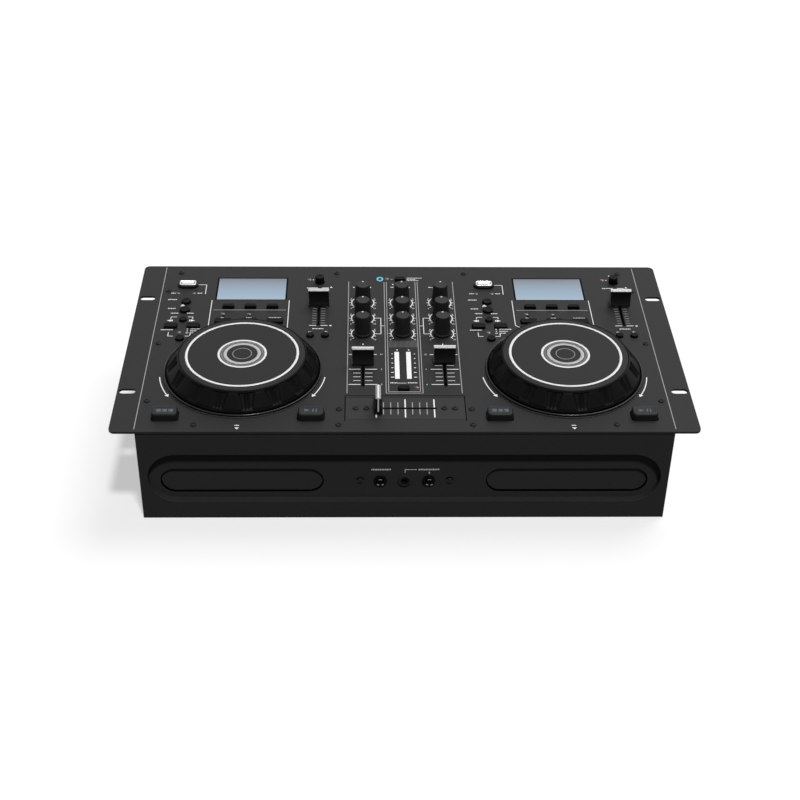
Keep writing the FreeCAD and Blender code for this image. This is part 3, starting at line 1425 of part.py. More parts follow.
def main_board():
    """The control board, hung from the panel, with its switches, pots and fader tracks."""
    board = block(0, (board_front + board_rear) / 2, board_top - board_thick, board_width,
                  board_rear - board_front, board_thick)
    solids = [board]
    switches = [key.centre for key in mixer_keys]
    for _, jog_x in deck_sides:
        for key in deck_keys:
            x, y = key.centre
            switches.append((jog_x + x, jog_y + y))
        solids.append(fader_track(jog_x + pitch_x, jog_y + pitch_y, pitch_travel))
    for x, y in switches:
        solids.append(block(x, y, board_top, switch_side, switch_side,
                            switch_top - board_top))
    for row in knob_rows:
        for step in (-1, 0, 1):
            solids.append(block(knob_step * step, row, board_top, pot_side, pot_side,
                                pot_height))
    for side in both_sides:
        solids.append(fader_track(channel_x * side, channel_y, channel_travel))
    for x, y in standoffs:
        for side in both_sides:
            solids.append(rod(x * side, y, board_top, standoff_radius,
                              plate_under - board_top))
    for side in both_sides:
        x, y = board_screw
        pillar = rod(x * side, y, board_top, standoff_radius, plate_under - board_top)
        hole = rod(x * side, y, board_top, screw_hole, plate_under - board_top)
        solids.append(cut(pillar, [hole]))

    bracket_top = plate_under - cross_lip_thick
    bracket = block(0, cross_y, bracket_top - cross_bracket_thick, cross_bracket,
                    housing_width, cross_bracket_thick)
    window = block(0, cross_y, bracket_top - cross_bracket_thick,
                   cross_travel + blade_width + 2 * slot_gap,
                   housing_width - 2 * housing_wall, cross_bracket_thick)
    holes = [rod(x * side, cross_y, bracket_top, screw_hole, cross_bracket_thick,
                 (0, 0, -1)) for x in cross_screws for side in both_sides]
    solids.append(cut(bracket, [window] + holes))
    solids.append(fader_track(0, cross_y, cross_travel, across_x=True, top=bracket_top))
    return named(fuse(solids), "main_board")


supply_x = size("supplyX", 0, "power supply")
supply_y = along("supplyY", 62, "power supply")
supply_gap = size("supplyGap", 10.8, "power supply board beside the loaders")
supply_width = tray_spacing - tray_width - 2 * (slide_gap + loader_wall + supply_gap)
supply_depth = size("supplyDepth", 76, "power supply board")
supply_lift = size("supplyLift", 8, "power supply board above the underside")
fin_count = 6
fin_step = size("finStep", 6, "heat sink fins")
fin_thick = size("finThick", 1.6, "heat sink fins")
fin_height = size("finHeight", 22, "heat sink fins")
fin_length = size("finLength", 40, "heat sink")
coil_side = size("coilSide", 34, "transformer")
coil_height = size("coilHeight", 28, "transformer")
can_radius = size("canRadius", 8, "smoothing capacitor")
can_height = size("canHeight", 25, "smoothing capacitor")


def power_supply():
    """A board on four feet with a transformer, a finned heat sink and two capacitors."""
    top = supply_lift + board_thick
    solids = [block(supply_x, supply_y, supply_lift, supply_width, supply_depth,
                    board_thick)]
    for x_side in both_sides:
        for y_side in both_sides:
            solids.append(rod(supply_x + (supply_width / 2 - foot_inset) * x_side,
                              supply_y + (supply_depth / 2 - foot_inset) * y_side,
                              sheet_thick, foot_radius, supply_lift - sheet_thick))
    solids.append(block(supply_x + supply_width / 4, supply_y, top, coil_side, coil_side,
                        coil_height))
    for y_side in both_sides:
        solids.append(rod(supply_x, supply_y + supply_depth / 4 * y_side, top, can_radius,
                          can_height))
    sink_x = supply_x - supply_width / 4 - fin_step
    span = fin_step * (fin_count - 1) + fin_thick
    solids.append(block(sink_x, supply_y, top, span, fin_length, fin_thick))
    for fin in range(fin_count):
        x = sink_x - (span - fin_thick) / 2 + fin_step * fin
        solids.append(block(x, supply_y, top, fin_thick, fin_length, fin_height))
    return named(fuse(solids), "power_supply")


# ---------------------------------------------------------------- the whole console

def deck_key_nodes(side, jog_x):
    """One node for each kind of key, so that like keys share one."""
    kinds = {}
    for key in deck_keys:
        x, y = key.centre
        kinds.setdefault(key.node, []).append(key.solids(jog_x + x, jog_y + y))
    for kind, solids in kinds.items():
        named(solids[0] if len(solids) == 1 else group(solids), kind + "_" + side)


for make in (top_panel, chassis_pan, front_panel, rear_panel, rear_connectors,
             crossfader_plate, machine_screws, jog_base_rings, lcd_windows, front_jacks,
             usb_sockets, level_meter, indicator_lenses, main_board, power_supply):
    make()
for side, jog_x in deck_sides:
    jog_wheel(side, jog_x)
    jog_top_disc(side, jog_x)
    deck_key_nodes(side, jog_x)
    fader("pitch_fader_" + side, jog_x + pitch_x, jog_y + pitch_y)
for side, tray_x in tray_sides:
    disc_loader(side, tray_x)
    disc_tray(side, tray_x)
    tray_front(side, tray_x)
fader("channel_fader_left", -channel_x, channel_y + left_level)
fader("channel_fader_right", channel_x, channel_y + right_level)
fader("crossfader", cross_level, cross_y, travel_along_x=True)
for row_name, row in zip(("rear", "middle", "front"), knob_rows):
    for column_name, step in (("left", -1), ("centre", 0), ("right", 1)):
        knob("knob_%s_%s" % (row_name, column_name), knob_step * step, row)
for key in mixer_keys:
    named(key.solids(*key.centre), key.node)
power_rocker()

doc.recompute()
faults = [thing.Label for thing in doc.Objects
          if "Invalid" in thing.State or "Error" in thing.State]
faults += [node.Label for node in nodes
           if node.Shape.isNull() or not node.Shape.isValid()]
if faults:
    raise ValueError("These did not build: " + ", ".join(faults))
os.makedirs("parts", exist_ok=True)
for node in nodes:
    node.Shape.exportStep("parts/%s.step" % node.Label)
print("%d sub-parts written" % len(nodes))
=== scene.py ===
import json
import math
import bmesh
import bpy
import numpy as np
from mathutils import Matrix, Vector

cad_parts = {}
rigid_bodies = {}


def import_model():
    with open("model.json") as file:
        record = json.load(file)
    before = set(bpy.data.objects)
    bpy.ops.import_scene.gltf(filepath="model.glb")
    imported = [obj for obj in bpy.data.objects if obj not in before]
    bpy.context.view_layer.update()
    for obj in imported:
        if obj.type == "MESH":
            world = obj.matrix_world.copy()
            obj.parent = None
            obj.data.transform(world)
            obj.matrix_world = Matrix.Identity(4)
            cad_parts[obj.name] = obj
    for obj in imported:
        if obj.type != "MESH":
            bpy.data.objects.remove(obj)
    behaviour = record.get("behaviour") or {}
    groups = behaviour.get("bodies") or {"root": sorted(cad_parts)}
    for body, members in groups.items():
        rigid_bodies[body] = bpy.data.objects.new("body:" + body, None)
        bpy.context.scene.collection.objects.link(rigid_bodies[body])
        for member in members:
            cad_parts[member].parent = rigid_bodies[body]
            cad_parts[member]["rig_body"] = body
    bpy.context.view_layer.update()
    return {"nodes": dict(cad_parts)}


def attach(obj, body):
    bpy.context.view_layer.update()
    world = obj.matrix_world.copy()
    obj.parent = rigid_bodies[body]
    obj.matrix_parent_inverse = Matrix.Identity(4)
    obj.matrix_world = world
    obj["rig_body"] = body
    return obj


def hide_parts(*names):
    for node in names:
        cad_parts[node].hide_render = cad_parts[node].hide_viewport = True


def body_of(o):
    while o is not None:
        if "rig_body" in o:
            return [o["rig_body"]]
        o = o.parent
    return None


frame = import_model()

mm = 0.001
tau = 2 * math.pi


def added(name, data):
    # an object in the scene that holds the data
    thing = bpy.data.objects.new(name, data)
    bpy.context.scene.collection.objects.link(thing)
    return thing


# camera: where it stands and which way it looks, in millimetres and degrees
camera = {"place": (-34.18, -1088.09, 823.62), "yaw": 1.716, "down": 36.129, "roll": 1.023,
          "focal": 1486.5, "frame": 800, "sensor": 36, "far": 50}


def addCamera():
    yaw, down, roll = (math.radians(camera[k]) for k in ("yaw", "down", "roll"))
    forward = Vector((math.sin(yaw) * math.cos(down), math.cos(yaw) * math.cos(down), -math.sin(down)))
    level = Vector((math.cos(yaw), -math.sin(yaw), 0))
    upright = level.cross(forward)
    right = math.cos(roll) * level + math.sin(roll) * upright
    up = math.cos(roll) * upright - math.sin(roll) * level
    lens = bpy.data.cameras.new("camera")
    lens.sensor_width = camera["sensor"]
    lens.lens = camera["sensor"] * camera["focal"] / camera["frame"]
    lens.clip_end = camera["far"]
    eye = added("camera", lens)
    turn = Matrix((right, up, -forward)).transposed().to_4x4()
    eye.matrix_world = Matrix.Translation(Vector(camera["place"]) * mm) @ turn
    bpy.context.scene.camera = eye


addCamera()
print("camera placed")


# shader maths: a wire is an output socket, and sums on wires add Math nodes
class Wire:
    def __init__(self, graph, socket):
        self.graph, self.socket = graph, socket

    def math(self, operation, other):
        return self.graph.node("ShaderNodeMath", {"operation": operation}, {0: self, 1: other})

    def __add__(self, other):
        return self.math("ADD", other)

    def __sub__(self, other):
        return self.math("SUBTRACT", other)

    def __rsub__(self, other):
        return self.graph.node("ShaderNodeMath", {"operation": "SUBTRACT"}, {0: other, 1: self})

    def __mul__(self, other):
        return self.math("MULTIPLY", other)

    __radd__, __rmul__ = __add__, __mul__

    def __gt__(self, other):
        return self.math("GREATER_THAN", other)

    def __lt__(self, other):
        return self.math("LESS_THAN", other)


class Graph:
    # the nodes of one material or of the world
    def __init__(self, tree):
        self.tree = tree

    def plug(self, socket, value):
        if isinstance(value, Wire):
            self.tree.links.new(value.socket, socket)
        elif socket.type == "RGBA" and len(value) == 3:
            socket.default_value = (*value, 1)
        else:
            socket.default_value = value

    def node(self, kind, settings=None, inputs=None, output=0):
        made = self.tree.nodes.new(kind)
        for key, value in (settings or {}).items():
            setattr(made, key, value)
        for key, value in (inputs or {}).items():
            self.plug(made.inputs[key], value)
        return Wire(self, made.outputs[output])

    def ramp(self, share, stops):
        wire = self.node("ShaderNodeValToRGB", None, {0: share})
        elements = wire.socket.node.color_ramp.elements
        while len(elements) < len(stops):
            elements.new(0.5)
        for element, (position, tone) in zip(elements, stops):
            element.position = position
            element.color = (*tone, 1)
        return wire

    def places(self):
        return self.node("ShaderNodeTexCoord", output="Object")

    def along(self, axis):
        return self.node("ShaderNodeSeparateXYZ", None, {0: self.places()}, axis)

    def noise(self, scale, detail=2.0, roughness=0.5, vector=None):
        return self.node("ShaderNodeTexNoise", None,
                         {"Vector": vector or self.places(), "Scale": scale, "Detail": detail,
                          "Roughness": roughness}, "Fac")

    def blend(self, factor, first, second):
        return self.node("ShaderNodeMix", {"data_type": "RGBA"}, {0: factor, 6: first, 7: second}, 2)

    def bump(self, height, strength, distance):
        return self.node("ShaderNodeBump", None,
                         {"Height": height, "Strength": strength, "Distance": distance})

    def seen(self):
        # 1 for a ray that shows a thing: from the camera, off a gloss or through a glass
        direct, mirrored, passed = (self.node("ShaderNodeLightPath", output=name) for name in (
            "Is Camera Ray", "Is Glossy Ray", "Is Transmission Ray"))
        return direct + mirrored + passed


class Finish(Graph):
    # a material whose Principled shader is set by socket names with underscores for spaces
    def __init__(self, name, **shader):
        self.material = bpy.data.materials.new(name)
        self.material.use_nodes = True
        super().__init__(self.material.node_tree)
        self.set(**shader)

    def set(self, **shader):
        for key, value in shader.items():
            self.plug(self.tree.nodes["Principled BSDF"].inputs[key.replace("_", " ")], value)


# finishes: tone, how far it drifts, gloss, roughness, grain in metres and the grain's depth
finishes = {
    "panelPaint": ((0.0195, 0.0195, 0.02), 0.16, 0.12, 0.5, 0.0006, 0.12),
    "sliderPlatePaint": ((0.0265, 0.0265, 0.027), 0.16, 0.12, 0.5, 0.0006, 0.12),
    "casePaint": ((0.046, 0.046, 0.0465), 0.14, 0.01, 0.5, 0.0006, 0.1),
    "frontPlastic": ((0.043, 0.043, 0.0435), 0.12, 0.01, 0.45, 0.0005, 0.08),
    "keyPlastic": ((0.0035, 0.0035, 0.0038), 0.15, 0.06, 0.4, 0.0004, 0.05),
    "padSide": ((0.013, 0.0135, 0.014), 0.12, 0.06, 0.35, 0.0004, 0.04),
    # painted light: the pad tops are bluer, and also paler than the sides where light falls on them
    "padTop": ((0.019, 0.021, 0.0235), 0.12, 0.12, 0.35, 0.0004, 0.04),
    "knobPlastic": ((0.016, 0.016, 0.016), 0.15, 0.1, 0.45, 0.0004, 0.05),
    # painted light: the barrel's plastic made paler for the knob tops, where light falls on them
    "knobTop": ((0.021, 0.021, 0.0215), 0.1, 0.15, 0.45, 0.0004, 0.05),
    "wheelRubber": ((0.003, 0.003, 0.003), 0.25, 0.05, 0.36, 0.0007, 0.06),
    "wheelDisc": ((0.0155, 0.0155, 0.0159), 0.1, 0.12, 0.5, 0.0005, 0.08),
    "seatPlastic": ((0.004, 0.004, 0.004), 0.12, 0.3, 0.22, 0.0005, 0.03),
    "trayPlastic": ((0.045, 0.045, 0.0455), 0.1, 0.01, 0.4, 0.0005, 0.05),
    "faderPlastic": ((0.0075, 0.0075, 0.0078), 0.15, 0.08, 0.4, 0.0004, 0.05),
    "blackMetal": ((0.006, 0.006, 0.006), 0.2, 0.15, 0.4, 0.0004, 0.05),
    "connectorPlastic": ((0.004, 0.004, 0.004), 0.15, 0.15, 0.4, 0.0005, 0.05),
    # painted shade: the display frame's near-black stands for the shadow and gap at the opening's edges
    "displayFrame": ((0.0006, 0.0006, 0.0007), 0.15, 0.02, 0.4, 0.0005, 0.03),
    "boardGreen": ((0.004, 0.016, 0.008), 0.25, 0.5, 0.35, 0.002, 0.05),
    "supplyBoard": ((0.18, 0.13, 0.05), 0.25, 0.4, 0.5, 0.002, 0.05),
    "loaderPlastic": ((0.05, 0.05, 0.053), 0.15, 0.3, 0.5, 0.0008, 0.06),
    "meterBar": ((0.86, 0.86, 0.85), 0.05, 0.4, 0.35, 0.0006, 0.02),
    "whiteInk": ((0.8, 0.8, 0.8), 0.06, 0.3, 0.5, 0.0006, 0.03),
    "greyInk": ((0.34, 0.34, 0.34), 0.08, 0.2, 0.5, 0.0006, 0.03),
    "dimInk": ((0.13, 0.13, 0.13), 0.08, 0.2, 0.5, 0.0006, 0.03),
    "padInk": ((0.095, 0.115, 0.135), 0.06, 0.2, 0.5, 0.0006, 0.03),
    # painted shade: near-black ink for sheets laid where there is only shadow
    "shadeInk": ((0.001, 0.001, 0.001), 0.1, 0.02, 0.6, 0.0006, 0.02),
    "blueInk": ((0.16, 0.5, 0.7), 0.06, 0.3, 0.5, 0.0006, 0.03),
}
# painted shade: ranges of depth from front to rear, in metres, where the tone falls to a share of itself
# they darken the panel's front edge, the walls of the front recess and the walls of the tray openings
paintedShadeBands = {"panelPaint": [(-0.2, -0.12935, 0.45)],
         "frontPlastic": [(-0.1287, -0.1252, 0.6), (-0.1248, -0.1, 0.03)]}
metals = {"silverMetal": ((0.72, 0.72, 0.72), 0.32), "faderSilver": ((0.27, 0.27, 0.27), 0.45)}
lenses = {"redLens": (0.2, 0.075, 0.085), "redRim": (0.075, 0.02, 0.023)}
drift = {"coarse": 0.35, "fine": 1.0, "rough": 0.12, "brush": (1, 12, 1), "brushed": 900, "metal": 0.86,
         "cloud": 1500, "lens": 0.6}


def shaded(tone, share):
    return tuple(value * share for value in tone)


def moulded(name, tone, spread, gloss, rough, grain, bump):
    # tone drifts over a few grains and the surface has a fine pebble
    paint = Finish(name, Specular_IOR_Level=gloss)
    wander = paint.noise(drift["coarse"] / grain, 3)
    pebble = paint.noise(drift["fine"] / grain, 2, 0.6)
    colour = paint.blend(wander, shaded(tone, 1 - spread), shaded(tone, 1 + spread))
    # painted shade: inside each band of depth the tone falls to a share of itself
    for low, high, share in paintedShadeBands.get(name, ()):
        depth = paint.along("Y")
        colour = paint.blend((depth > low) * (depth < high), colour, shaded(tone, share))
    paint.set(Base_Color=colour, Normal=paint.bump(pebble, bump, grain),
              Roughness=wander * drift["rough"] + (rough - drift["rough"] / 2))
    return paint.material


def plated(name, tone, rough):
    # metal with faint brushing
    paint = Finish(name, Metallic=1.0)
    stretch = paint.node("ShaderNodeMapping", None, {"Vector": paint.places(), "Scale": drift["brush"]})
    streak = paint.noise(drift["brushed"], 2, vector=stretch)
    paint.set(Base_Color=paint.blend(streak, shaded(tone, drift["metal"]), tone),
              Roughness=streak * drift["rough"] + (rough - drift["rough"] / 2))
    return paint.material


def lens(name, tone):
    paint = Finish(name, Roughness=0.18, Coat_Weight=0.4)
    cloud = paint.noise(drift["cloud"], 1)
    paint.set(Base_Color=paint.blend(cloud, shaded(tone, drift["lens"]), tone))
    return paint.material


# the pale panel is bluer towards the front and greyer towards the rear, in metres
crystal = {"near": 0.0705, "far": 0.1075, "cloud": 60, "drift": 0.08,
           "stops": [(0.0, (0.33, 0.43, 0.53)), (0.45, (0.27, 0.36, 0.46)), (0.8, (0.23, 0.27, 0.33)),
                     (1.0, (0.17, 0.18, 0.2))]}
# black rings of the front jacks; the small jack's is black only near its mouth
nut = {"height": 0.0373, "mouth": 0.0036, "middle": 0.008, "black": 0.003, "grey": 0.03, "grain": 0.002}


def displayPanel():
    paint = Finish("displayPanel", Roughness=0.25, Specular_IOR_Level=0.3)
    share = paint.node("ShaderNodeMapRange", None, {"Value": paint.along("Y"), "From Min": crystal["near"],
                                                    "From Max": crystal["far"]})
    cloud = paint.noise(crystal["cloud"], 2)
    paint.set(Base_Color=paint.ramp(share + (cloud - 0.5) * crystal["drift"], crystal["stops"]))
    return paint.material


def jackNut():
    paint = Finish("jackNut", Specular_IOR_Level=0.02, Roughness=0.5)
    across, height = paint.along("X"), paint.along("Z") - nut["height"]
    away = across * across
    outside = away + height * height > nut["mouth"] ** 2
    small = away < nut["middle"] ** 2
    grain = paint.noise(drift["cloud"], 2) * nut["grain"]
    black, grey = (paint.node("ShaderNodeCombineColor", None, {
        channel: grain + nut[tone] for channel in ("Red", "Green", "Blue")}) for tone in ("black", "grey"))
    paint.set(Base_Color=paint.blend(outside * small, black, grey))
    return paint.material


made = {"displayPanel": displayPanel(), "jackNut": jackNut()}
made.update({name: moulded(name, *values) for name, values in finishes.items()})
made.update({name: plated(name, *values) for name, values in metals.items()})
made.update({name: lens(name, tone) for name, tone in lenses.items()})
print("finishes made")


# the CAD nodes' finishes, by how their names start
nodeFinish = {
    "top_panel": "panelPaint", "crossfader_plate": "sliderPlatePaint", "chassis_pan": "casePaint",
    "rear_panel": "casePaint", "front_panel": "frontPlastic", "rear_connectors": "connectorPlastic",
    "machine_screws": "blackMetal", "jog_base_rings": "seatPlastic", "lcd_windows": "frontPlastic",
    "front_jacks": "jackNut", "usb_sockets": "silverMetal", "level_meter": "connectorPlastic",
    "indicator_lenses": "redLens", "main_board": "boardGreen", "power_supply": "supplyBoard",
    "disc_loader": "loaderPlastic", "power_rocker": "connectorPlastic", "jog_wheel": "wheelRubber",
    "jog_top_disc": "wheelDisc", "disc_tray": "trayPlastic", "tray_front": "trayPlastic",
    "knob": "knobPlastic", "pitch_fader": "faderPlastic", "channel_fader": "faderPlastic",
    "crossfader": "faderPlastic",
}


def finishOf(node):
    matches = [start for start in nodeFinish if node.startswith(start)]
    return nodeFinish[max(matches, key=len)] if matches else "keyPlastic"


for node, thing in frame["nodes"].items():
    thing.data.materials.clear()
    thing.data.materials.append(made[finishOf(node)])


# surfaces worked out on grids; a shape is points in millimetres, faces, and a kind for each face
def gridFaces(rows, columns, ends=False):
    # quads between the neighbouring rows of a grid numbered row by row whose last column joins
    # the first; ends joins the last row to the first
    r, c = np.meshgrid(np.arange(rows if ends else rows - 1), np.arange(columns), indexing="ij")
    nextR, nextC = (r + 1) % rows, (c + 1) % columns
    corners = (r * columns + c, r * columns + nextC, nextR * columns + nextC, nextR * columns + c)
    return np.stack([corner.ravel() for corner in corners], axis=1).tolist()


def piece(name, shape, finish, body, node=None, smooth=True):
    # an object riding on a body and standing for a node if one is named; where finish is a list,
    # each face's kind picks from it
    points, faces, kinds = (*shape, None)[:3]
    mesh = bpy.data.meshes.new(name)
    mesh.from_pydata((points * mm).tolist(), [], faces)
    for used in [finish] if isinstance(finish, str) else finish:
        mesh.materials.append(made[used])
    if kinds is not None:
        mesh.polygons.foreach_set("material_index", np.asarray(kinds, np.int32))
    mesh.validate()
    mesh.polygons.foreach_set("use_smooth", np.full(len(mesh.polygons), smooth))
    thing = added(name, mesh)
    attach(thing, body)
    if node:
        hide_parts(node)
    return thing


def joined(parts):
    # several shapes as one: points stacked, faces renumbered; a part's kind is one or a list
    points, faces, kinds, start = [], [], [], 0
    for somePoints, someFaces, *kind in parts:
        points.append(somePoints)
        faces += [[corner + start for corner in face] for face in someFaces]
        kind = kind[0] if kind else 0
        kinds += kind if isinstance(kind, list) else [kind] * len(someFaces)
        start += len(somePoints)
    return np.concatenate(points), faces, kinds


def moved(shape, x, y, z=0.0):
    # the same shape with its points set off by a place
    return (shape[0] + np.array([x, y, z], float), *shape[1:])


def circle(radius, angle):
    # across and up: the radius times the cosine and the sine
    return radius * np.cos(angle), radius * np.sin(angle)


def roundedPath(width, depth, corner, count):
    # once round a rectangle with quarter circles for corners, as unit places on four arcs
    quarter, step = np.divmod(np.arange(4 * count), count)
    x, y = circle(corner, (quarter + step / (count - 1)) * tau / 4)
    wide, deep = width / 2 - corner, depth / 2 - corner
    return wide * np.array([1, -1, -1, 1])[quarter] + x, deep * np.array([1, 1, -1, -1])[quarter] + y


def shell(levels, width, depth, corner, count=7, closeTop=True):
    # a cap: each level (inset, height) is the rounded path drawn in by the inset, stacked
    # upwards, and one face closes the last
    rows = []
    for inset, height in levels:
        x, y = roundedPath(width - 2 * inset, depth - 2 * inset, max(corner - inset, 0.05), count)
        rows.append(np.stack([x, y, np.full_like(x, height)], axis=1))
    faces, last = gridFaces(len(levels), 4 * count), (len(levels) - 1) * 4 * count
    if closeTop:
        faces.append(list(range(last, last + 4 * count)))
    return np.concatenate(rows), faces


def quarterRound(radius, count=6):
    # from a side to a top: how far in and how far up at each step
    angle = np.linspace(0, tau / 4, count)
    return [(radius * (1 - math.cos(a)), radius * math.sin(a)) for a in angle]


def edgeRound(radius, count, inset, height):
    # levels that end a side at the top in a quarter round
    return [(inset + x, height - radius + z) for x, z in quarterRound(radius, count)]


def turned(profile, segments=96, closed=True, around=False):
    # a profile of (radius, height) carried round a circle: closed puts a face over each end, and
    # around joins the last ring to the first
    angle = np.arange(segments) * tau / segments
    profile = np.asarray(profile, float)
    x, y = circle(profile[:, :1], angle)
    points = np.stack([x, y, profile[:, 1:] + 0 * angle], axis=2).reshape(-1, 3)
    faces, last = gridFaces(len(profile), segments, around), (len(profile) - 1) * segments
    if closed:
        faces += [list(range(segments))[::-1], list(range(last, last + segments))]
    return points, faces


def slab(x0, x1, y0, y1, z0, z1):
    # a box from its two corners, faces outward
    x, y, z = np.meshgrid([x0, x1], [y0, y1], [z0, z1], indexing="ij")
    faces = [[0, 1, 3, 2], [4, 6, 7, 5], [0, 4, 5, 1], [2, 3, 7, 6], [0, 2, 6, 4], [1, 5, 7, 3]]
    return np.stack([x.ravel(), y.ravel(), z.ravel()], axis=1), faces


def block(x, y, width, depth, z0, z1):
    # a box from its middle, reaching half its width and half its depth each way
    return slab(x - width / 2, x + width / 2, y - depth / 2, y + depth / 2, z0, z1)


def turnedLeft(spots):
    # an outline with its inside on the left
    area = sum(a[0] * b[1] - b[0] * a[1] for a, b in zip(spots, spots[1:] + spots[:1]))
    return spots if area > 0 else spots[::-1]


def outward(thing):
    # merges doubles and turns every face outward
    shape = bmesh.new()
    shape.from_mesh(thing.data)
    bmesh.ops.remove_doubles(shape, verts=shape.verts, dist=1e-7)
    bmesh.ops.recalc_face_normals(shape, faces=shape.faces)
    shape.to_mesh(thing.data)
    shape.free()


# where things stand, in millimetres in the row's frame: the panel's top, the jog wheels, and the
# floor of the recess in the front
place = {"skin": 91.5, "jogX": 137.65, "jogY": -43.4, "recess": -125.0}
skin, jogY = place["skin"], place["jogY"]
deckSides = {"left": -place["jogX"], "right": place["jogX"]}

# keys: a rounded block with a soft edge, drawn in towards the top by its draft, or the same turned
keyShape = {"corner": 1.0, "edge": 0.55, "draft": 0.25, "sink": 1.6, "dish": 0.12}
roundKeyShape = {"rise": 2.3, "edge": 0.6, "sink": 1.6, "dish": 0.2, "segments": 40}


def keyCap(width, depth, rise, corner=keyShape["corner"], edge=keyShape["edge"]):
    # levels: upright side, quarter round edge, then a top that dishes towards its middle
    draft, dish, foot, top = keyShape["draft"], keyShape["dish"], skin - keyShape["sink"], skin + rise
    levels = [(0, foot), (draft * 0.5, (foot + top - edge) / 2)] + edgeRound(edge, 6, draft, top)
    levels += [(draft + edge + 0.6, top - dish * 0.6), (draft + edge + 1.4, top - dish)]
    return shell(levels, width, depth, corner)


def roundCap(diameter, rise=roundKeyShape["rise"]):
    # a profile turned: upright side, quarter round edge, then a top sunk towards its middle
    radius, top, edge, dish = diameter / 2, skin + rise, roundKeyShape["edge"], roundKeyShape["dish"]
    profile = [(radius, skin - roundKeyShape["sink"])]
    profile += [(radius - x, top - edge + z) for x, z in quarterRound(edge)]
    profile += [(radius - edge - 0.8, top - dish * 0.7), (radius * 0.3, top - dish)]
    points, faces = turned(profile, roundKeyShape["segments"])
    del faces[-2]  # the foot stays open in its hole
    return points, faces


# where each key stands from its wheel, then its diameter and rise or its width, depth and rise
deckKeys = {
    "round_keys": [(-59.1, 109.6, 8.5), (-59.1, 79.4, 6.7), (-59.1, 49.0, 7.4)],
    "eject_key": [(-59.1, 95.3, 9)],
    "pitch_keys": [(62.1, 144.8, 8.2, 6.5), (55.7, 54.4, 6.7), (68.9, 54.4, 6.7)],
    "track_back_key": [(-69.1, 69.2, 11.5, 7, 2.3)],
    "track_next_key": [(-49.1, 69.2, 11.5, 7, 2.3)],
    "soft_keys": [(-20, 101, 10.4, 4.8, 3), (0, 101, 10.4, 4.8, 3), (20, 101, 10.4, 4.8, 3)],
    "loop_keys": [(-23.1, 77, 15, 7, 2.3), (0, 77, 15, 7, 2.3), (23.1, 77, 15, 7, 2.3)],
}
mixerKeys = {"sync_key": (-0.5, 105.7), "phones_key": (-0.6, -69.9)}
mixerKeyShape = {"width": 9.4, "depth": 5.4, "rise": 2.5, "corner": 0.8, "edge": 0.5}
for side, jogX in deckSides.items():
    for node, keys in deckKeys.items():
        caps = [moved((keyCap if len(size) > 2 else roundCap)(*size), jogX + x, jogY + y)
                for x, y, *size in keys]
        body, name = node + "_" + side, "%sCaps_%s" % (node.replace("_", ""), side)
        piece(name, joined(caps), "keyPlastic", body, body)
for node, spot in mixerKeys.items():
    piece(node + "Cap", moved(keyCap(**mixerKeyShape), *spot), "keyPlastic", node, node)
print("keys shaped")


# cue and play pads: broad rounded blocks whose tops are a finer, bluer plastic, also painted paler than
# the sides as painted light; their marks are three plain blocks for a word, and an arrow with two bars
padShape = {"width": 22, "depth": 14, "top": 97.5, "corner": 4.0, "edge": 1.5, "draft": 0.5, "sink": 1.6,
            "dish": 0.3, "x": 59.8, "y": -64.3, "ink": 0.04, "count": 9}
padMarks = {"cue_key": {"side": -1, "half": 2.0, "arrow": [],
                        "bars": [(-7.0, -2.9), (-2.0, 2.1), (3.0, 7.1)]},
            "play_key": {"side": 1, "half": 2.2, "bars": [(1.2, 2.4), (3.8, 5.0)],
                         "arrow": [(-5.6, -2.2), (-5.6, 2.2), (-0.4, 0.0)]}}


def plate(spots, low, thick):
    # a flat outline raised into a thin plate with closed sides
    spots = np.array(turnedLeft(spots), float)
    count = len(spots)
    points = np.concatenate([np.column_stack([spots, np.full(count, z)]) for z in (low, low + thick)])
    sides = [[i, (i + 1) % count, (i + 1) % count + count, i + count] for i in range(count)]
    return points, sides + [list(range(count))[::-1], list(range(count, 2 * count))]


def padCap(half, bars, arrow, **_):
    # a rounded rectangle in levels: side, quarter round edge, a gently sunk top, and its mark
    top, edge, draft, dish = (padShape[key] for key in ("top", "edge", "draft", "dish"))
    levels = [(0, skin - padShape["sink"]), (draft * 0.6, skin + 1.5)] + edgeRound(edge, 8, draft, top)
    rim = (len(levels) - 3) * 4 * padShape["count"]
    levels += [(draft + edge + 0.5, top - 0.05), (draft + edge + 2.2, top - dish)]
    points, faces = shell(levels, padShape["width"], padShape["depth"], padShape["corner"], padShape["count"])
    marks = [[(x0, -half), (x1, -half), (x1, half), (x0, half)] for x0, x1 in bars] + [arrow] * bool(arrow)
    return joined([(points, faces, [int(index >= rim) for index in range(len(faces))])]
                  + [(*plate(mark, top - dish, padShape["ink"]), 2) for mark in marks])


for side, jogX in deckSides.items():
    for node, marks in padMarks.items():
        body = node + "_" + side
        pad = moved(padCap(**marks), jogX + marks["side"] * padShape["x"], jogY + padShape["y"])
        piece(node.replace("_key", "Pad_") + side, pad, ["padSide", "padTop", "padInk"], body, body)
print("pads shaped")


# fader caps: a crest between hollow flanks on a thin flange, topped by a silver strip
faderShape = {"length": 19, "foot": 7.4, "flange": 1.3, "low": 93, "shoulder": 107.8, "high": 109,
              "crest": 4.8, "hollow": 24, "strip": 4.7, "line": 1.2, "lineLow": 95.0, "blade": (1.2, 6),
              "bladeLow": 78}
faderSpots = {"pitch_fader_" + side: (jogX + 62.3, jogY + 104.4) for side, jogX in deckSides.items()}
faderSpots.update({"channel_fader_left": (-35.2, -33.0), "channel_fader_right": (35.2, -30.7),
                   "crossfader": (-22.5, -97.4)})


def mirrored(right):
    # the right half of an outline, then its left half read back
    return np.concatenate([right, right[::-1] * np.array([-1, 1])])


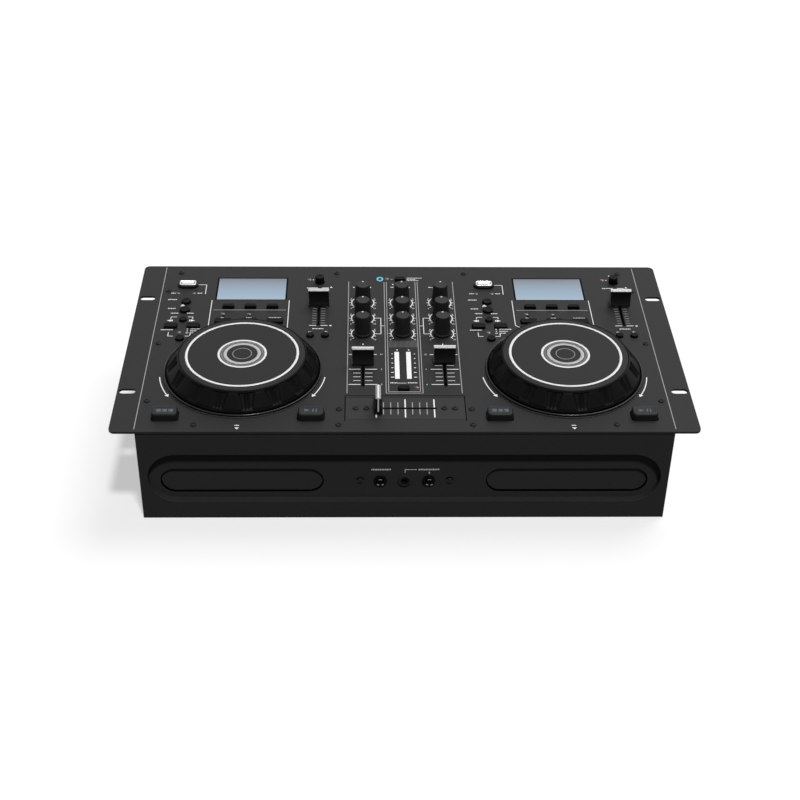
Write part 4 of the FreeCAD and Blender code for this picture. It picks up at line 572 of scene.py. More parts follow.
def faderProfile():
    # outline across the cap as (across, height): foot, flange, an arc hollowed by its chord's
    # sagitta up to the crest, then the same mirrored
    f = faderShape
    half, crest, low, high = f["foot"] / 2, f["crest"] / 2, f["low"], f["shoulder"]
    shelf = low + f["flange"]
    start, stop = np.array([half, shelf]), np.array([crest, high - 0.4])
    chord = stop - start
    length = np.hypot(*chord)
    normal = np.array([chord[1], -chord[0]]) / length
    centre = (start + stop) / 2 + normal * math.sqrt(f["hollow"] ** 2 - (length / 2) ** 2)
    first, last = (math.atan2(*(end - centre)[::-1]) % tau for end in (start, stop))
    flank = centre + np.stack(circle(f["hollow"], np.linspace(first, last, 12)), axis=1)
    return mirrored(np.concatenate([[[half, low], [half, shelf - 0.35], [half - 0.15, shelf - 0.06]], flank,
                                    [[crest - 0.12, high - 0.12], [crest - 0.4, high]]]))


def carried(outline, ends):
    # an outline of (across, height) carried along x to both ends: each station is (along,
    # inset), and the inset draws the outline in and its upper half down, which rounds the ends
    middle = (outline[:, 1].min() + outline[:, 1].max()) / 2
    rows, count = [], len(outline)
    for along, inset in [(-along, inset) for along, inset in ends] + ends[::-1]:
        across = outline[:, 0] - np.sign(outline[:, 0]) * np.minimum(inset / 2, abs(outline[:, 0]))
        height = outline[:, 1] - inset / 2 * (outline[:, 1] > middle)
        rows.append(np.stack([np.full(count, along), across, height], axis=1))
    faces = gridFaces(len(rows), count)
    faces += [list(range(count))[::-1], list(range((len(rows) - 1) * count, len(rows) * count))]
    return np.concatenate(rows), faces


def faderCap():
    # the profile carried along, a silver arch on its crest, a line over both, and the blade
    f = faderShape
    half, strip, line, top = f["length"] / 2, f["strip"] / 2, f["line"] / 2, f["high"]
    reach = half - 0.1
    arch = mirrored(np.array([(strip, f["shoulder"] - 0.05), (strip, top - 0.75), (strip - 0.45, top - 0.25),
                              (0.9, top - 0.03)]))
    return [(*carried(faderProfile(), [(half, 0.9), (half - 0.12, 0.35), (half - 0.5, 0)]), 0),
            (*carried(arch, [(reach, 0.5), (reach - 0.25, 0)]), 1),
            (*slab(-reach, reach, -line, line, top - 0.2, top), 2),
            (*slab(-half - 0.03, half + 0.03, -line, line, f["lineLow"], top - 0.25), 2),
            (*block(0, 0, *f["blade"], f["bladeLow"], f["low"] + 0.5), 0)]


for body, spot in faderSpots.items():
    points, faces, kinds = joined(faderCap())
    if body == "crossfader":
        points[:, :2] = np.stack([-points[:, 1], points[:, 0]], axis=1)
    else:  # a paler edge down the left end, a painted highlight
        worn = 2 * len(faderProfile())
        kinds[:worn] = [3] * worn
    piece("faderCap_" + body, moved((points, faces, kinds), *spot),
          ["faderPlastic", "faderSilver", "whiteInk", "dimInk"], body, body, smooth=False)
print("faders shaped")


# knobs: a tapered barrel with fine upright ribs, a plain collar, and a flat top with a dot; the top is
# painted paler than the barrel as painted light
knobShape = {"foot": 8.0, "collar": 7.4, "crown": 6.1, "low": 92.0, "high": 111.5, "collarHeight": 2.2,
             "ribs": 18, "ribDepth": 0.16, "edge": 0.5, "dot": 1.05, "dotIn": 1.15, "segments": 108}
knobRows = {"rear": 65.5, "middle": 39.6, "front": 14.5}
knobColumns = {"left": -35.3, "centre": 0.0, "right": 35.3}


def knobSolid():
    # the barrel's radius is its profile plus a small wave that fades at the collar and the crown
    k = knobShape
    low, high, edge, count = k["low"], k["high"], k["edge"], k["segments"]
    collar = low + k["collarHeight"]
    slope = (k["crown"] - k["collar"]) / (high - collar)
    profile = [(3.2, low), (k["foot"] - 0.3, low), (k["foot"], low + 0.3), (k["foot"], collar - 0.5),
               (k["foot"] - 0.3, collar - 0.15), (k["collar"], collar)]
    profile += [(k["collar"] + slope * (z - collar), z) for z in np.linspace(collar + 0.5, high - edge, 5)]
    crown = profile[-1][0]
    profile += [(crown - x, high - edge + z) for x, z in quarterRound(edge)[1:]]
    rim = len(profile) - 1
    profile = np.array(profile + [(crown - 1.0, high - 0.05), (crown * 0.5, high - 0.1)])
    points, faces = turned(profile, count)
    angle = np.tile(np.arange(count) * tau / count, len(profile))
    ribbed = (profile[:, 1] > collar + 0.4) & (profile[:, 1] < high - 0.4) & (profile[:, 0] > crown - 0.2)
    wave = np.repeat(ribbed, count) * k["ribDepth"] * np.cos(angle * k["ribs"])
    points[:, :2] *= (1 + wave / np.maximum(np.hypot(points[:, 0], points[:, 1]), 1))[:, None]
    kinds = [int(index >= rim * count) for index in range(len(faces))]
    kinds[-2] = 0
    dot = turned([(k["dot"], 0), (k["dot"] * 0.8, 0.08)], 20)
    return joined([(points, faces, kinds), (*moved(dot, 0, crown - k["dotIn"], high - 0.12), 2)])


for row, y in knobRows.items():
    for column, x in knobColumns.items():
        name = "%s_%s" % (row, column)
        piece("knobBody_" + name, moved(knobSolid(), x, y), ["knobPlastic", "knobTop", "whiteInk"],
              "knob_" + name, "knob_" + name)
print("knobs shaped")


# jog wheels: a rubber cone with sixteen broad arched swellings, each parted by a pair of ribs
wheelShape = {"foot": 64.8, "low": 93.2, "step": 2.4, "crown": 54.6, "high": 109.5, "rim": 53.5,
              "seat": 107.5, "motifs": 16, "turn": 7.3, "columns": 960, "rows": 34, "inner": 60.8,
              "bore": 6.1}
# its flank: depths in millimetres, and places as shares of one motif or of the height
flute = {"deep": 2.1, "swell": 0.7, "start": (0.06, 0.14), "end": (0.84, 0.94), "arch": 0.13, "spread": 0.17,
         "curve": 1.5, "soft": 0.07, "rib": 0.055, "ribWide": 0.02, "ribRise": 0.9, "shallow": 0.45,
         "fade": 0.8}


def smoothStep(value, low, high):
    # 0 below low, 1 above high, and three squares less two cubes of the share between
    share = np.clip((value - low) / (high - low), 0, 1)
    return share * share * (3 - 2 * share)


def wheelRelief(phase, height):
    # depth in millimetres at a phase of -0.5..0.5 round one motif and a height of 0..1 up the
    # flank: an arch, widest at its foot, swells out low down; hollows that deepen upwards part
    # it from two narrow ribs at the motif's ends; plain bands lie above and below
    f = flute
    away = 0.5 - abs(phase)
    band = smoothStep(height, *f["start"]) * (1 - smoothStep(height, *f["end"]))
    archEdge = f["arch"] + f["spread"] * height ** f["curve"]
    arch = smoothStep(away, archEdge, archEdge + f["soft"])
    rib = np.exp(-((away - f["rib"]) / f["ribWide"]) ** 2)
    hollow = (1 - arch) * (1 - rib * f["ribRise"]) * (f["shallow"] + (1 - f["shallow"]) * height)
    return band * (f["swell"] * arch * (1 - f["fade"] * height) - f["deep"] * hollow)


def wheelSolid():
    # the radius at each height is the cone's plus the relief
    w = wheelShape
    foot, low, crown, high, rim, seat = (w[key] for key in ("foot", "low", "crown", "high", "rim", "seat"))
    share = np.linspace(0, 1, w["rows"])
    angle = np.arange(w["columns"]) * tau / w["columns"]
    phase = ((angle - math.radians(w["turn"])) * w["motifs"] / tau) % 1 - 0.5
    bottom = low + w["step"]
    flankRadius = foot + (crown - foot) * share
    flankHeight = bottom + (high - 0.5 - bottom) * share
    lower = np.array([(w["bore"], low + 0.2), (w["inner"], low + 0.2), (foot - 0.5, low),
                      (foot - 0.1, low + 0.15), (foot, low + 0.5)])
    upper = np.array([(crown - 0.12, high - 0.14), (crown - 0.45, high), (rim + 0.1, high - 0.05),
                      (rim, high - 0.3), (rim, seat + 0.02), (w["bore"], seat + 0.02)])
    flank = flankRadius[:, None] + wheelRelief(phase, share[:, None])
    radius = np.concatenate([lower[:, :1] + 0 * angle, flank, upper[:, :1] + 0 * angle])
    x, y = circle(np.minimum(radius, foot), angle)
    height = np.concatenate([lower[:, 1], flankHeight, upper[:, 1]])[:, None] + 0 * angle
    return np.stack([x, y, height], axis=2).reshape(-1, 3), gridFaces(len(height), w["columns"], True)


# each printed ring is inner radius, outer radius and ink; the two combs are rings of short
# strokes, each with a count and the share of a step that it fills
discShape = {"radius": 53.35, "top": 109.5, "under": 107.5, "edge": 0.5, "segments": 160, "lift": 0.03,
             "face": (48, 30, 12),
             "rings": [(46.1, 48.25, 1), (18.9, 20.9, 1), (13.0, 16.0, 2), (7.7, 8.25, 2)],
             "combs": [(16.5, 18.5, 110, 0.5, 2), (13.1, 15.9, 90, 0.35, 1)]}


def flatRing(inner, outer, height, lift, segments=160):
    # a very thin ring lying on a flat face
    profile = [(inner, height), (inner, height + lift), (outer, height + lift), (outer, height)]
    return turned(profile, segments, closed=False, around=True)


def comb(inner, outer, count, fill, height, lift):
    # short strokes round a circle: each is a wedge between two radii
    start = np.arange(count) * tau / count
    angle = start[:, None] + np.array([0, fill, fill, 0]) * tau / count
    x, y = circle(np.array([inner, inner, outer, outer]), angle)
    low, high = (np.stack([x, y, np.full_like(x, z)], axis=2) for z in (height, height + lift))
    corners = [[0, 3, 2, 1], [4, 5, 6, 7], [0, 1, 5, 4], [1, 2, 6, 5], [2, 3, 7, 6], [3, 0, 4, 7]]
    faces = (np.arange(count)[:, None, None] * 8 + np.array(corners)).reshape(-1, 4)
    return np.concatenate([low, high], axis=1).reshape(-1, 3), faces[:, ::-1].tolist()


def discSolid():
    # a profile turned, from its foot over a rounded edge to a flat face, with rings printed on it
    d = discShape
    radius, top, lift = d["radius"], d["top"], d["lift"]
    profile = [(radius - 0.2, d["under"] + 0.03), (radius, d["under"] + 0.25)]
    profile += [(radius - x, top - d["edge"] + z) for x, z in quarterRound(d["edge"])]
    parts = [turned(profile + [(r, top) for r in d["face"]], d["segments"])]
    parts += [(*flatRing(inner, outer, top, lift), ink) for inner, outer, ink in d["rings"]]
    parts += [(*comb(*strokes, top, lift + 0.02), ink) for *strokes, ink in d["combs"]]
    return joined(parts)


for side, jogX in deckSides.items():
    piece("jogRubber_" + side, moved(wheelSolid(), jogX, jogY), "wheelRubber", "jog_" + side,
          "jog_wheel_" + side)
    piece("jogDisc_" + side, moved(discSolid(), jogX, jogY), ["wheelDisc", "whiteInk", "greyInk"],
          "jog_" + side, "jog_top_disc_" + side)
print("jog wheels shaped")


# screws: pan heads with a cross recess, standing on the faces that they hold; the panel's are
# mirrored, and so are those of the front and of each side
screwShape = {"radius": 2.6, "rise": 1.3, "slot": 0.38, "reach": 1.5, "deep": 0.8, "segments": 48,
              "rings": (0.1, 0.2, 0.3, 0.4, 0.5, 0.6, 0.7, 0.8, 0.9, 0.96, 1.0), "shank": (1.45, 7.9, 16)}
screwSpots = {"panel": [(206, 117.2), (60, 117.2), (214.8, 85.6), (214.8, -1.2), (214.8, -86.9),
                        (173.2, -119.8), (55, -119.8), (55, -98.4), (32.4, -97.4), (41.2, -97.4)],
              "front": (37.3, 37.3), "sideX": 220, "sideY": (-120.0, 114.0), "sideZ": (25.2, 79.2)}
# for each facing, which axis each place comes from, and its sign
facings = {"up": ([0, 1, 2], (1, 1, 1)), "front": ([0, 2, 1], (1, -1, 1)), "right": ([2, 1, 0], (1, 1, -1)),
           "left": ([2, 1, 0], (-1, 1, 1))}


def screwHead():
    # a domed head whose top is sunk where the cross lies: the depth falls off from its two bars
    s = screwShape
    count = s["segments"]
    radius = np.array(s["rings"])[:, None] * s["radius"] + np.zeros(count)
    x, y = circle(radius, np.arange(count) * tau / count)
    dome = s["rise"] * np.sqrt(np.clip(1 - (radius / (s["radius"] + 0.2)) ** 2.6, 0, 1))
    bar = 1 - smoothStep(np.minimum(abs(x), abs(y)), s["slot"], s["slot"] + 0.12)
    height = dome - s["deep"] * bar * (1 - smoothStep(radius, s["reach"], s["reach"] + 0.3))
    height[-1] = 0.0
    points = np.stack([x, y, height], axis=2).reshape(-1, 3)
    points = np.concatenate([points, [[0, 0, s["rise"] - s["deep"]]]])
    last = (len(radius) - 1) * count
    faces = [face[::-1] for face in gridFaces(len(radius), count)]
    faces += [[len(points) - 1, i, (i + 1) % count] for i in range(count)]
    return points, faces + [list(range(last, last + count))[::-1]]


def screwsAt(x, y, z, facing, twist):
    # a head and its shank, twisted and then faced outward
    radius, length, segments = screwShape["shank"]
    c, s = math.cos(twist), math.sin(twist)
    turn = np.array([[c, -s, 0], [s, c, 0], [0, 0, 1]])
    axes, signs = facings[facing]
    for points, faces in (screwHead(), turned([(radius, -length), (radius, 0.0)], segments)):
        yield moved(((points @ turn.T)[:, axes] * np.array(signs), faces), x, y, z)


screwParts = []
for sign, facing in ((-1, "left"), (1, "right")):
    for index, (x, y) in enumerate(screwSpots["panel"]):
        screwParts += screwsAt(sign * x, y, skin, "up", 0.4 + 1.3 * index + sign)
    x, z = screwSpots["front"]
    screwParts += screwsAt(sign * x, place["recess"], z, "front", 0.6 * sign)
    for y in screwSpots["sideY"]:
        for z in screwSpots["sideZ"]:
            screwParts += screwsAt(sign * screwSpots["sideX"], y, z, facing, y + z)
piece("screwHeads", joined(screwParts), "blackMetal", "chassis", "machine_screws")
print("screws shaped")


# printed lines and marks, with sheets of painted shade and painted glints among them: plates of ink a
# few hundredths of a millimetre high, kept by tone
inkLevels = {"low": 0.02, "high": 0.055}
ink = {tone: [] for tone in ("white", "grey", "dim", "shade", "blue", "front", "frontShade", "frontBright")}


def inkSheet(spots, faces, tone="white"):
    # flat faces raised into a thin plate, with a wall along every outer edge
    flat, count = np.asarray(spots, float), len(spots)
    low, high = [np.column_stack([flat, np.full(count, skin + level)]) for level in inkLevels.values()]
    edges = [pair for face in faces for pair in zip(face, face[1:] + face[:1])]
    inside = {(b, a) for a, b in edges}
    walls = [[a, b, b + count, a + count] for a, b in edges if (a, b) not in inside]
    tops = [[index + count for index in face] for face in faces]
    ink[tone].append((np.concatenate([low, high]), tops + [face[::-1] for face in faces] + walls))


def inkBar(x0, y0, x1, y1, width, tone="white"):
    # a straight stroke between two points
    start, stop = np.array([x0, y0], float), np.array([x1, y1], float)
    way = (stop - start) / np.hypot(*(stop - start))
    side = np.array([-way[1], way[0]]) * width / 2
    inkSheet([start - side, stop - side, stop + side, start + side], [[0, 1, 2, 3]], tone)


def inkRect(x, y, width, depth, tone="white"):
    inkBar(x - width / 2, y, x + width / 2, y, depth, tone)


def inkArc(x, y, radius, first, last, width, tone="white", count=24, stretch=1.0):
    # a curved stroke between two angles in degrees, stretched along y
    angle = np.radians(np.linspace(min(first, last), max(first, last), count))
    way = np.stack([np.cos(angle), np.sin(angle) * stretch], axis=1)
    inner, outer = way * (radius - width / 2) + (x, y), way * (radius + width / 2) + (x, y)
    faces = [[i, i + count, i + count + 1, i + 1] for i in range(count - 1)]
    inkSheet(np.concatenate([inner, outer]), faces, tone)


def inkPolygon(spots):
    inkSheet(turnedLeft(spots), [list(range(len(spots)))])


def inkDot(x, y, radius):
    inkPolygon([(x + radius * math.cos(a), y + radius * math.sin(a))
                for a in np.linspace(0, tau, 16, endpoint=False)])


def inkDash(x, y, width, tone="white", height=1.25, seed=0, gap=0.4):
    # a word's place: a row of short blocks of uneven width, with no letters in it
    at, number, stop = x - width / 2, seed, x + width / 2
    while at < stop - 0.4:
        number += 1
        step = min(0.75 + 0.14 * (number * 7 % 5), stop - at)
        rise = 0.06 if number % 3 else -0.04
        inkRect(at + step / 2, y + height * rise, step, height * (0.86 if number % 2 else 1.0), tone)
        at += step + gap


def inkNumber(text, x, y, height):
    # a scale's number from Blender's own font, made flat mesh
    curve = bpy.data.curves.new("numeral", "FONT")
    curve.body, curve.size, curve.align_x, curve.align_y = text, height * 1.35, "CENTER", "CENTER"
    curve.resolution_u = 3
    holder = added("numeral", curve)
    bpy.context.view_layer.update()
    mesh = bpy.data.meshes.new_from_object(holder)
    flat = np.zeros(len(mesh.vertices) * 3)
    mesh.vertices.foreach_get("co", flat)
    inkSheet(flat.reshape(-1, 3)[:, :2] + (x, y), [list(face.vertices) for face in mesh.polygons])
    bpy.data.objects.remove(holder)
    bpy.data.curves.remove(curve)
    bpy.data.meshes.remove(mesh)


def draw(marks, x0=0.0, y0=0.0, side=1):
    # marks set from one place, mirrored where side is -1
    for width, tone, *paths in marks.get("strokes", ()):
        for path in paths:
            for (x, y), (nextX, nextY) in zip(path, path[1:]):
                inkBar(x0 + side * x, y0 + y, x0 + side * nextX, y0 + nextY, width, tone)
    for x, y, width, depth in marks.get("bars", ()):
        inkRect(x0 + side * x, y0 + y, width, depth, marks.get("tone", "white"))
    for spots in marks.get("shapes", ()):
        inkPolygon([(x0 + side * x, y0 + y) for x, y in spots])
    for x, y, radius in marks.get("dots", ()):
        inkDot(x0 + side * x, y0 + y, radius)
    for index, (x, y, width) in enumerate(marks.get("words", ())):
        inkDash(x0 + side * x, y0 + y, width, seed=index)
    for x, y, radius, first, last, width, tone in marks.get("arcs", ()):
        inkArc(x0 + side * x, y0 + y, radius, first, last, width, tone)
    for text, x, y, height in marks.get("numbers", ()):
        inkNumber(text, x0 + side * x, y0 + y, height)


def ladder(x, y, marks, across=False):
    # divisions on both sides of a slot: each kind has its reach, thickness and tone
    for index in range(marks["count"] + 1):
        reach, thick, tone = marks["minor" if index % marks["every"] else "major"]
        at, length = index * marks["step"], reach - marks["near"]
        for off in (-(reach + marks["near"]) / 2, (reach + marks["near"]) / 2):
            if across:
                inkRect(x + at, y + off, thick, length, tone)
            else:
                inkRect(x + off, y + at, length, thick, tone)


# marks of one deck, measured from its jog wheel: brackets round the keys and the display's
# group, a line under the soft keys, painted shade carrying the pitch slot's dark end past the hole, an
# eject sign, track signs, the ends of the pitch scale, plus and minus, and the marker under the wheel
deckMarks = {
    "strokes": [
        (0.65, "white", [(-50.8, 139.6), (-42.9, 139.6), (-42.9, 123.6)],
         [(-70.2, 81.6), (-70.2, 84.6), (-65.0, 84.6)], [(-55.0, 84.6), (-50.7, 84.6), (-50.7, 81.6)],
         [(-70.1, 59.7), (-70.1, 53.5), (-65.7, 53.5)], [(-55.1, 53.5), (-50.7, 53.5), (-50.7, 58)],
         [(-35.75, 113), (-35.75, 71.3), (-30.6, 67.0)], [(34.9, 113), (34.9, 66.9)]),
        (0.6, "grey", [(-33.1, 96.4), (32.3, 96.4)]),
        # painted shade: a black strip past the slot's end, standing for the shaded depth of the slot
        (2.9, "shade", [(62.5, 71.0), (62.5, 73.4)])],
    "bars": [(-61.7, 102.8, 3.8, 0.8), (-68.8, 78.7, 1.1, 2.4), (-53.0, 78.8, 1.1, 2.4),
             (55.2, 60.6, 2.6, 0.75), (69.4, 60.6, 2.6, 0.75), (69.4, 60.6, 0.75, 2.6)],
    "shapes": [[(-63.6, 103.7), (-59.8, 103.7), (-61.7, 106.0)],
               [(-69.8, 76.9), (-69.8, 80.5), (-73.4, 78.7)], [(-52.0, 77.0), (-52.0, 80.6), (-48.4, 78.8)],
               [(71.6, 134.8), (74.2, 134.8), (72.9, 137.0)], [(72.1, 71.5), (74.7, 71.5), (73.4, 69.3)],
               [(-1.9, -80.2), (1.9, -80.2), (0.1, -82.6)]],
    "dots": [(59.5, 156.7, 0.7), (56.0, 148.8, 0.6)],
    "words": [(-72.0, 124.8, 4.6), (-47.8, 124.8, 4.6), (-72.0, 113.8, 8.4), (-71.0, 98.7, 7.0),
              (-67.5, 90.8, 7.4), (-53.4, 90.8, 6.2), (-71.9, 63.6, 10.6), (-24.3, 83.4, 2.4),
              (-0.4, 83.4, 4.8), (22.9, 83.4, 10.6), (52.6, 134.4, 4.4), (62.6, 65.7, 10.5),
              (0.1, -77.4, 4.0), (-53.5, 65.0, 1.6), (-45.4, 65.0, 11.5), (-53.5, 61.8, 1.2),
              (-47.2, 61.8, 7.6), (-53.6, 58.6, 2.0), (-48.4, 58.6, 5.4)],
}
pitchScale = {"x": 62.5, "y": 70.95, "step": 3.975, "count": 16, "every": 8, "near": 2.0,
              "major": (8.2, 0.8, "white"), "minor": (5.8, 0.5, "grey")}
turnArrows = {"radius": 70.8, "from": 7.6, "to": 29.5, "tip": 32.3, "half": 1.95, "width": 0.85}
for jogX in deckSides.values():
    draw(deckMarks, jogX, jogY)
    ladder(jogX + pitchScale["x"], jogY + pitchScale["y"], pitchScale)
    radius, half = turnArrows["radius"], turnArrows["half"]
    for side in (-1, 1):  # degrees from the side of the wheel towards its front
        first, last, tip = [90 + side * (90 + turnArrows[key]) for key in ("from", "to", "tip")]
        inkArc(jogX, jogY, radius, first, last, turnArrows["width"])
        corners = ((last, radius - half), (last, radius + half), (tip, radius))
        inkPolygon([(jogX + reach * math.cos(math.radians(degrees)),
                     jogY + reach * math.sin(math.radians(degrees))) for degrees, reach in corners])

# marks of the mixer: the same on both sides, then the frame round the middle, painted shade along the
# crossfader plate's seam, and what stands alone
mixerSides = {
    "strokes": [(0.65, "grey", [(48.5, -76), (48.5, 102.4)], [(220.7, -126), (220.7, 127)]),
                (0.65, "white", [(23.3, 39.8), (19.1, 39.8), (19.1, 14.0), (23.3, 14.0)],
                 [(15.7, 27), (19.1, 27)])],
    "bars": [(9.75, -17.4, 1.0, 0.9), (9.75, -24.45, 1.2, 0.9), (9.75, -31.5, 1.5, 0.9),
             (9.75, -38.55, 1.8, 0.9), (9.75, -45.6, 2.4, 0.9), (9.75, -52.65, 2.7, 0.9),
             (35.1, -2.5, 1.0, 1.8)],
    "numbers": [("0", 19.2, -63.3, 1.7), ("5", 19.2, -40.9, 1.7), ("10", 19.2, -18.4, 1.7)],
}
mixerMiddle = {
    "strokes": [(0.65, "grey", [(-13.4, 101.6), (-13.4, -73.8), (13.4, -73.8), (13.4, 101.6)],
                 [(-15.5, 101.6), (-15.5, -75.9), (15.5, -75.9), (15.5, 101.6)]),
                # painted shade: a near-black line round the crossfader plate where its seam is shaded
                (0.7, "shade", [(-50.0, -114.8), (-50.0, -79.6), (50.0, -79.6), (50.0, -114.8)]),
                (0.5, "white", [(-6.0, -61.4), (2.0, -61.4)])],
    "dots": [(-5.3, -11.4, 0.75), (4.9, -11.4, 0.75), (-43.7, 92.2, 0.75), (-28.3, 92.2, 0.75),
             (-7.4, 97.4, 0.75), (7.7, 92.3, 0.75)],
    "words": [(-8.2, 92.3, 2.6), (27.6, 92.3, 3.6), (-9.0, -61.0, 6.0), (7.0, -61.0, 8.0)],
}
channelScale = {"x": 35.2, "y": -63.3, "step": 5.61, "count": 8, "every": 4, "near": 2.0,
                "major": (12.1, 0.8, "white"), "minor": (8.2, 0.55, "white")}
crossScale = {"x": -24.12, "y": -97.4, "step": 6.03, "count": 8, "every": 4, "near": 1.3,
              "major": (12.6, 1.1, "white"), "minor": (8.4, 0.75, "grey")}
hatch = {"x": -13.0, "step": 1.08, "count": 25, "low": -7.3, "high": 3.0, "wide": 0.42}
knobMarks = {"radius": 10.2, "arc": (-42, 30), "wide": 0.95, "ticks": (-40, -20, 0, 22), "reach": 12.3,
             "tick": 0.7, "number": (10.6, -9.6, 1.9), "dot": (10.6, 6.6, 0.55)}


def knobPrint(x, y, marks):
    # an arc with ticks on each side of a knob, a number below it and a dot above
    for side, number in ((-1, "0"), (1, "10")):
        base = 90 - side * 90
        first, last = marks["arc"]
        inkArc(x, y, marks["radius"], base + first, base + last, marks["wide"])
        for degrees in marks["ticks"]:
            angle = math.radians(base + side * degrees)
            way = np.array([math.cos(angle), math.sin(angle)])
            inkBar(*(way * marks["radius"] + (x, y)), *(way * marks["reach"] + (x, y)), marks["tick"])
        draw({"numbers": [(number, *marks["number"])], "dots": [marks["dot"]]}, x, y, side)


draw(mixerMiddle)
ladder(crossScale["x"], crossScale["y"], crossScale, across=True)
for side in (-1, 1):
    draw(mixerSides, side=side)
    ladder(side * channelScale["x"], channelScale["y"], channelScale)
for step in range(hatch["count"]):
    x = hatch["x"] + step * hatch["step"]
    inkBar(x, hatch["low"], x, hatch["high"], hatch["wide"], "dim")
for y in knobRows.values():
    for x in knobColumns.values():
        knobPrint(x, y, knobMarks)

# words and ring beside the input switch
inputMarks = {"words": [(13.3, 108.7, 14.6, "white"), (9.9, 106.5, 8.0, "white"),
                        (11.6, 104.3, 11.5, "white"), (-8.0, 106.6, 2.6, "grey")], "height": 1.0,
              "ring": (-19.3, 106.9, 2.4, 0, 359.9, 1.5, "blue", 40, 1.25)}
for index, (x, y, width, tone) in enumerate(inputMarks["words"]):
    inkDash(x, y, width, tone, inputMarks["height"], index)
inkArc(*inputMarks["ring"])

# marks on the front, laid out flat as (across, up) and stood against the recess floor: lines over
# the jacks, then on both sides painted shade over each screw where its sink is shaded, and silver arcs
# at each jack's mouth, parted by its key, that are painted glints
frontMarks = {"strokes": [(0.6, "front", [(0.0, 45.2), (0.0, 48.65), (9.6, 48.65)])],
              "bars": [(20.2, 45.4, 0.9, 2.0)], "tone": "front"}
frontWords = [(-20.0, 48.65, 16.4, "front", 1.6, 2), (19.8, 48.65, 17.0, "front", 1.6, 5)]
frontSides = {"arcs": [(37.3, 37.3, 3.1, 15, 165, 1.1, "frontShade"),
                       (20.5, 37.3, 4.5, -126, -104, 0.8, "frontBright"),
                       (20.5, 37.3, 4.5, -76, -54, 0.8, "frontBright"),
                       (20.5, 36.6, 2.2, 50, 130, 0.5, "frontBright")]}
# the glint arcs are silver set a millimetre forward as painted glints; the screw arcs are painted shade
frontFinish = {"front": ("whiteInk", 0), "frontShade": ("shadeInk", 0), "frontBright": ("faderSilver", 1.0)}
draw(frontMarks)
for word in frontWords:
    inkDash(*word)
for side in (-1, 1):
    draw(frontSides, side=side)
for group, (finish, ahead) in frontFinish.items():
    points, faces, _ = joined(ink.pop(group))
    points = np.column_stack([points[:, 0], place["recess"] - ahead + skin - points[:, 2], points[:, 1]])
    piece(group + "Print", (points, faces), finish, "chassis", smooth=False)
for tone, parts in ink.items():
    piece("panelPrint_" + tone, joined(parts), tone + "Ink", "chassis", smooth=False)
print("printed marks laid")


# moulded and folded pieces: a copy of the frame's solid with its hard edges eased, by the width in
# millimetres and the steps of the round, and its slot
easing = {
    "top_panel": (0.3, 2, "panel_paint"), "crossfader_plate": (0.25, 2, "panel_paint"),
    "front_panel": (0.7, 3, "front_plastic"), "chassis_pan": (0.25, 2, "case_paint"),
    "rear_panel": (0.2, 2, "case_paint"), "rear_connectors": (0.25, 2, "connector_plastic"),
    "tray_front_left": (0.6, 3, "tray_plastic"), "tray_front_right": (0.6, 3, "tray_plastic"),
    "disc_tray_left": (0.25, 2, "tray_plastic"), "disc_tray_right": (0.25, 2, "tray_plastic"),
    "front_jacks": (0.2, 2, "jack_metal"), "power_rocker": (0.4, 2, "connector_plastic"),
}
easingLimits = {"merge": 1e-6, "flat": 0.4, "sharp": 28, "weight": 100}


def eased(node, width, steps, slotName):
    # doubles merged and flat faces joined, then every edge sharper than the limit is rounded
    body = body_of(frame["nodes"][node])[0]
    mesh = frame["nodes"][node].data.copy()
    mesh.name = "eased_" + node
    shape = bmesh.new()
    shape.from_mesh(mesh)
    bmesh.ops.remove_doubles(shape, verts=shape.verts, dist=easingLimits["merge"])
    bmesh.ops.dissolve_limit(shape, angle_limit=math.radians(easingLimits["flat"]), verts=shape.verts,
                             edges=shape.edges)
    shape.to_mesh(mesh)
    shape.free()
    thing = added("eased_" + node, mesh)
    mesh.polygons.foreach_set("use_smooth", np.ones(len(mesh.polygons), bool))
    bevel = thing.modifiers.new("edges", "BEVEL")
    bevel.width, bevel.segments = width * mm, steps
    bevel.limit_method, bevel.angle_limit = "ANGLE", math.radians(easingLimits["sharp"])
    thing.modifiers.new("level", "WEIGHTED_NORMAL").weight = easingLimits["weight"]
    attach(thing, body)
    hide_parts(node)


for node, values in easing.items():
    eased(node, *values)
print("edges eased")


# seat rings round the wheels: a dished floor inside a rounded rim, with a painted highlight at its foot
ringShape = {"radius": 67.5, "wall": 1.6, "rise": 3.0, "floor": 1.4, "spigot": 12.0, "post": 5.9, "deep": 6,
             "worn": (0.8, 0.05), "segments": 192}


def seatRing():
    # the profile goes up the inside of the rim, over its round top and back under the floor
    r = ringShape
    radius, bead, inner, floor = r["radius"], r["wall"] / 2, r["radius"] - r["wall"], skin + r["floor"]
    top, (high, low) = skin + r["rise"] - bead, r["worn"]
    profile = [(r["post"], floor), (inner - 0.5, floor), (inner, floor + 0.5)]
    profile += [(radius - bead - bead * math.cos(a), top + bead * math.sin(a))
                for a in np.linspace(0, tau / 2, 13)]
    # the grey band from here down the rim's outer foot is a painted highlight
    bright = len(profile)
    profile += [(radius, skin + high), (radius, skin + low), (r["spigot"], skin + low),
                (r["spigot"], skin - r["deep"]), (r["post"], skin - r["deep"])]
    points, faces = turned(profile, r["segments"], closed=False, around=True)
    return points, faces, [int(index // r["segments"] == bright) for index in range(len(faces))]


for side, jogX in deckSides.items():
    outward(piece("seatRing_" + side, moved(seatRing(), jogX, jogY), ["seatPlastic", "greyInk"], "chassis",
                  "jog_base_rings"))
print("seat rings shaped")


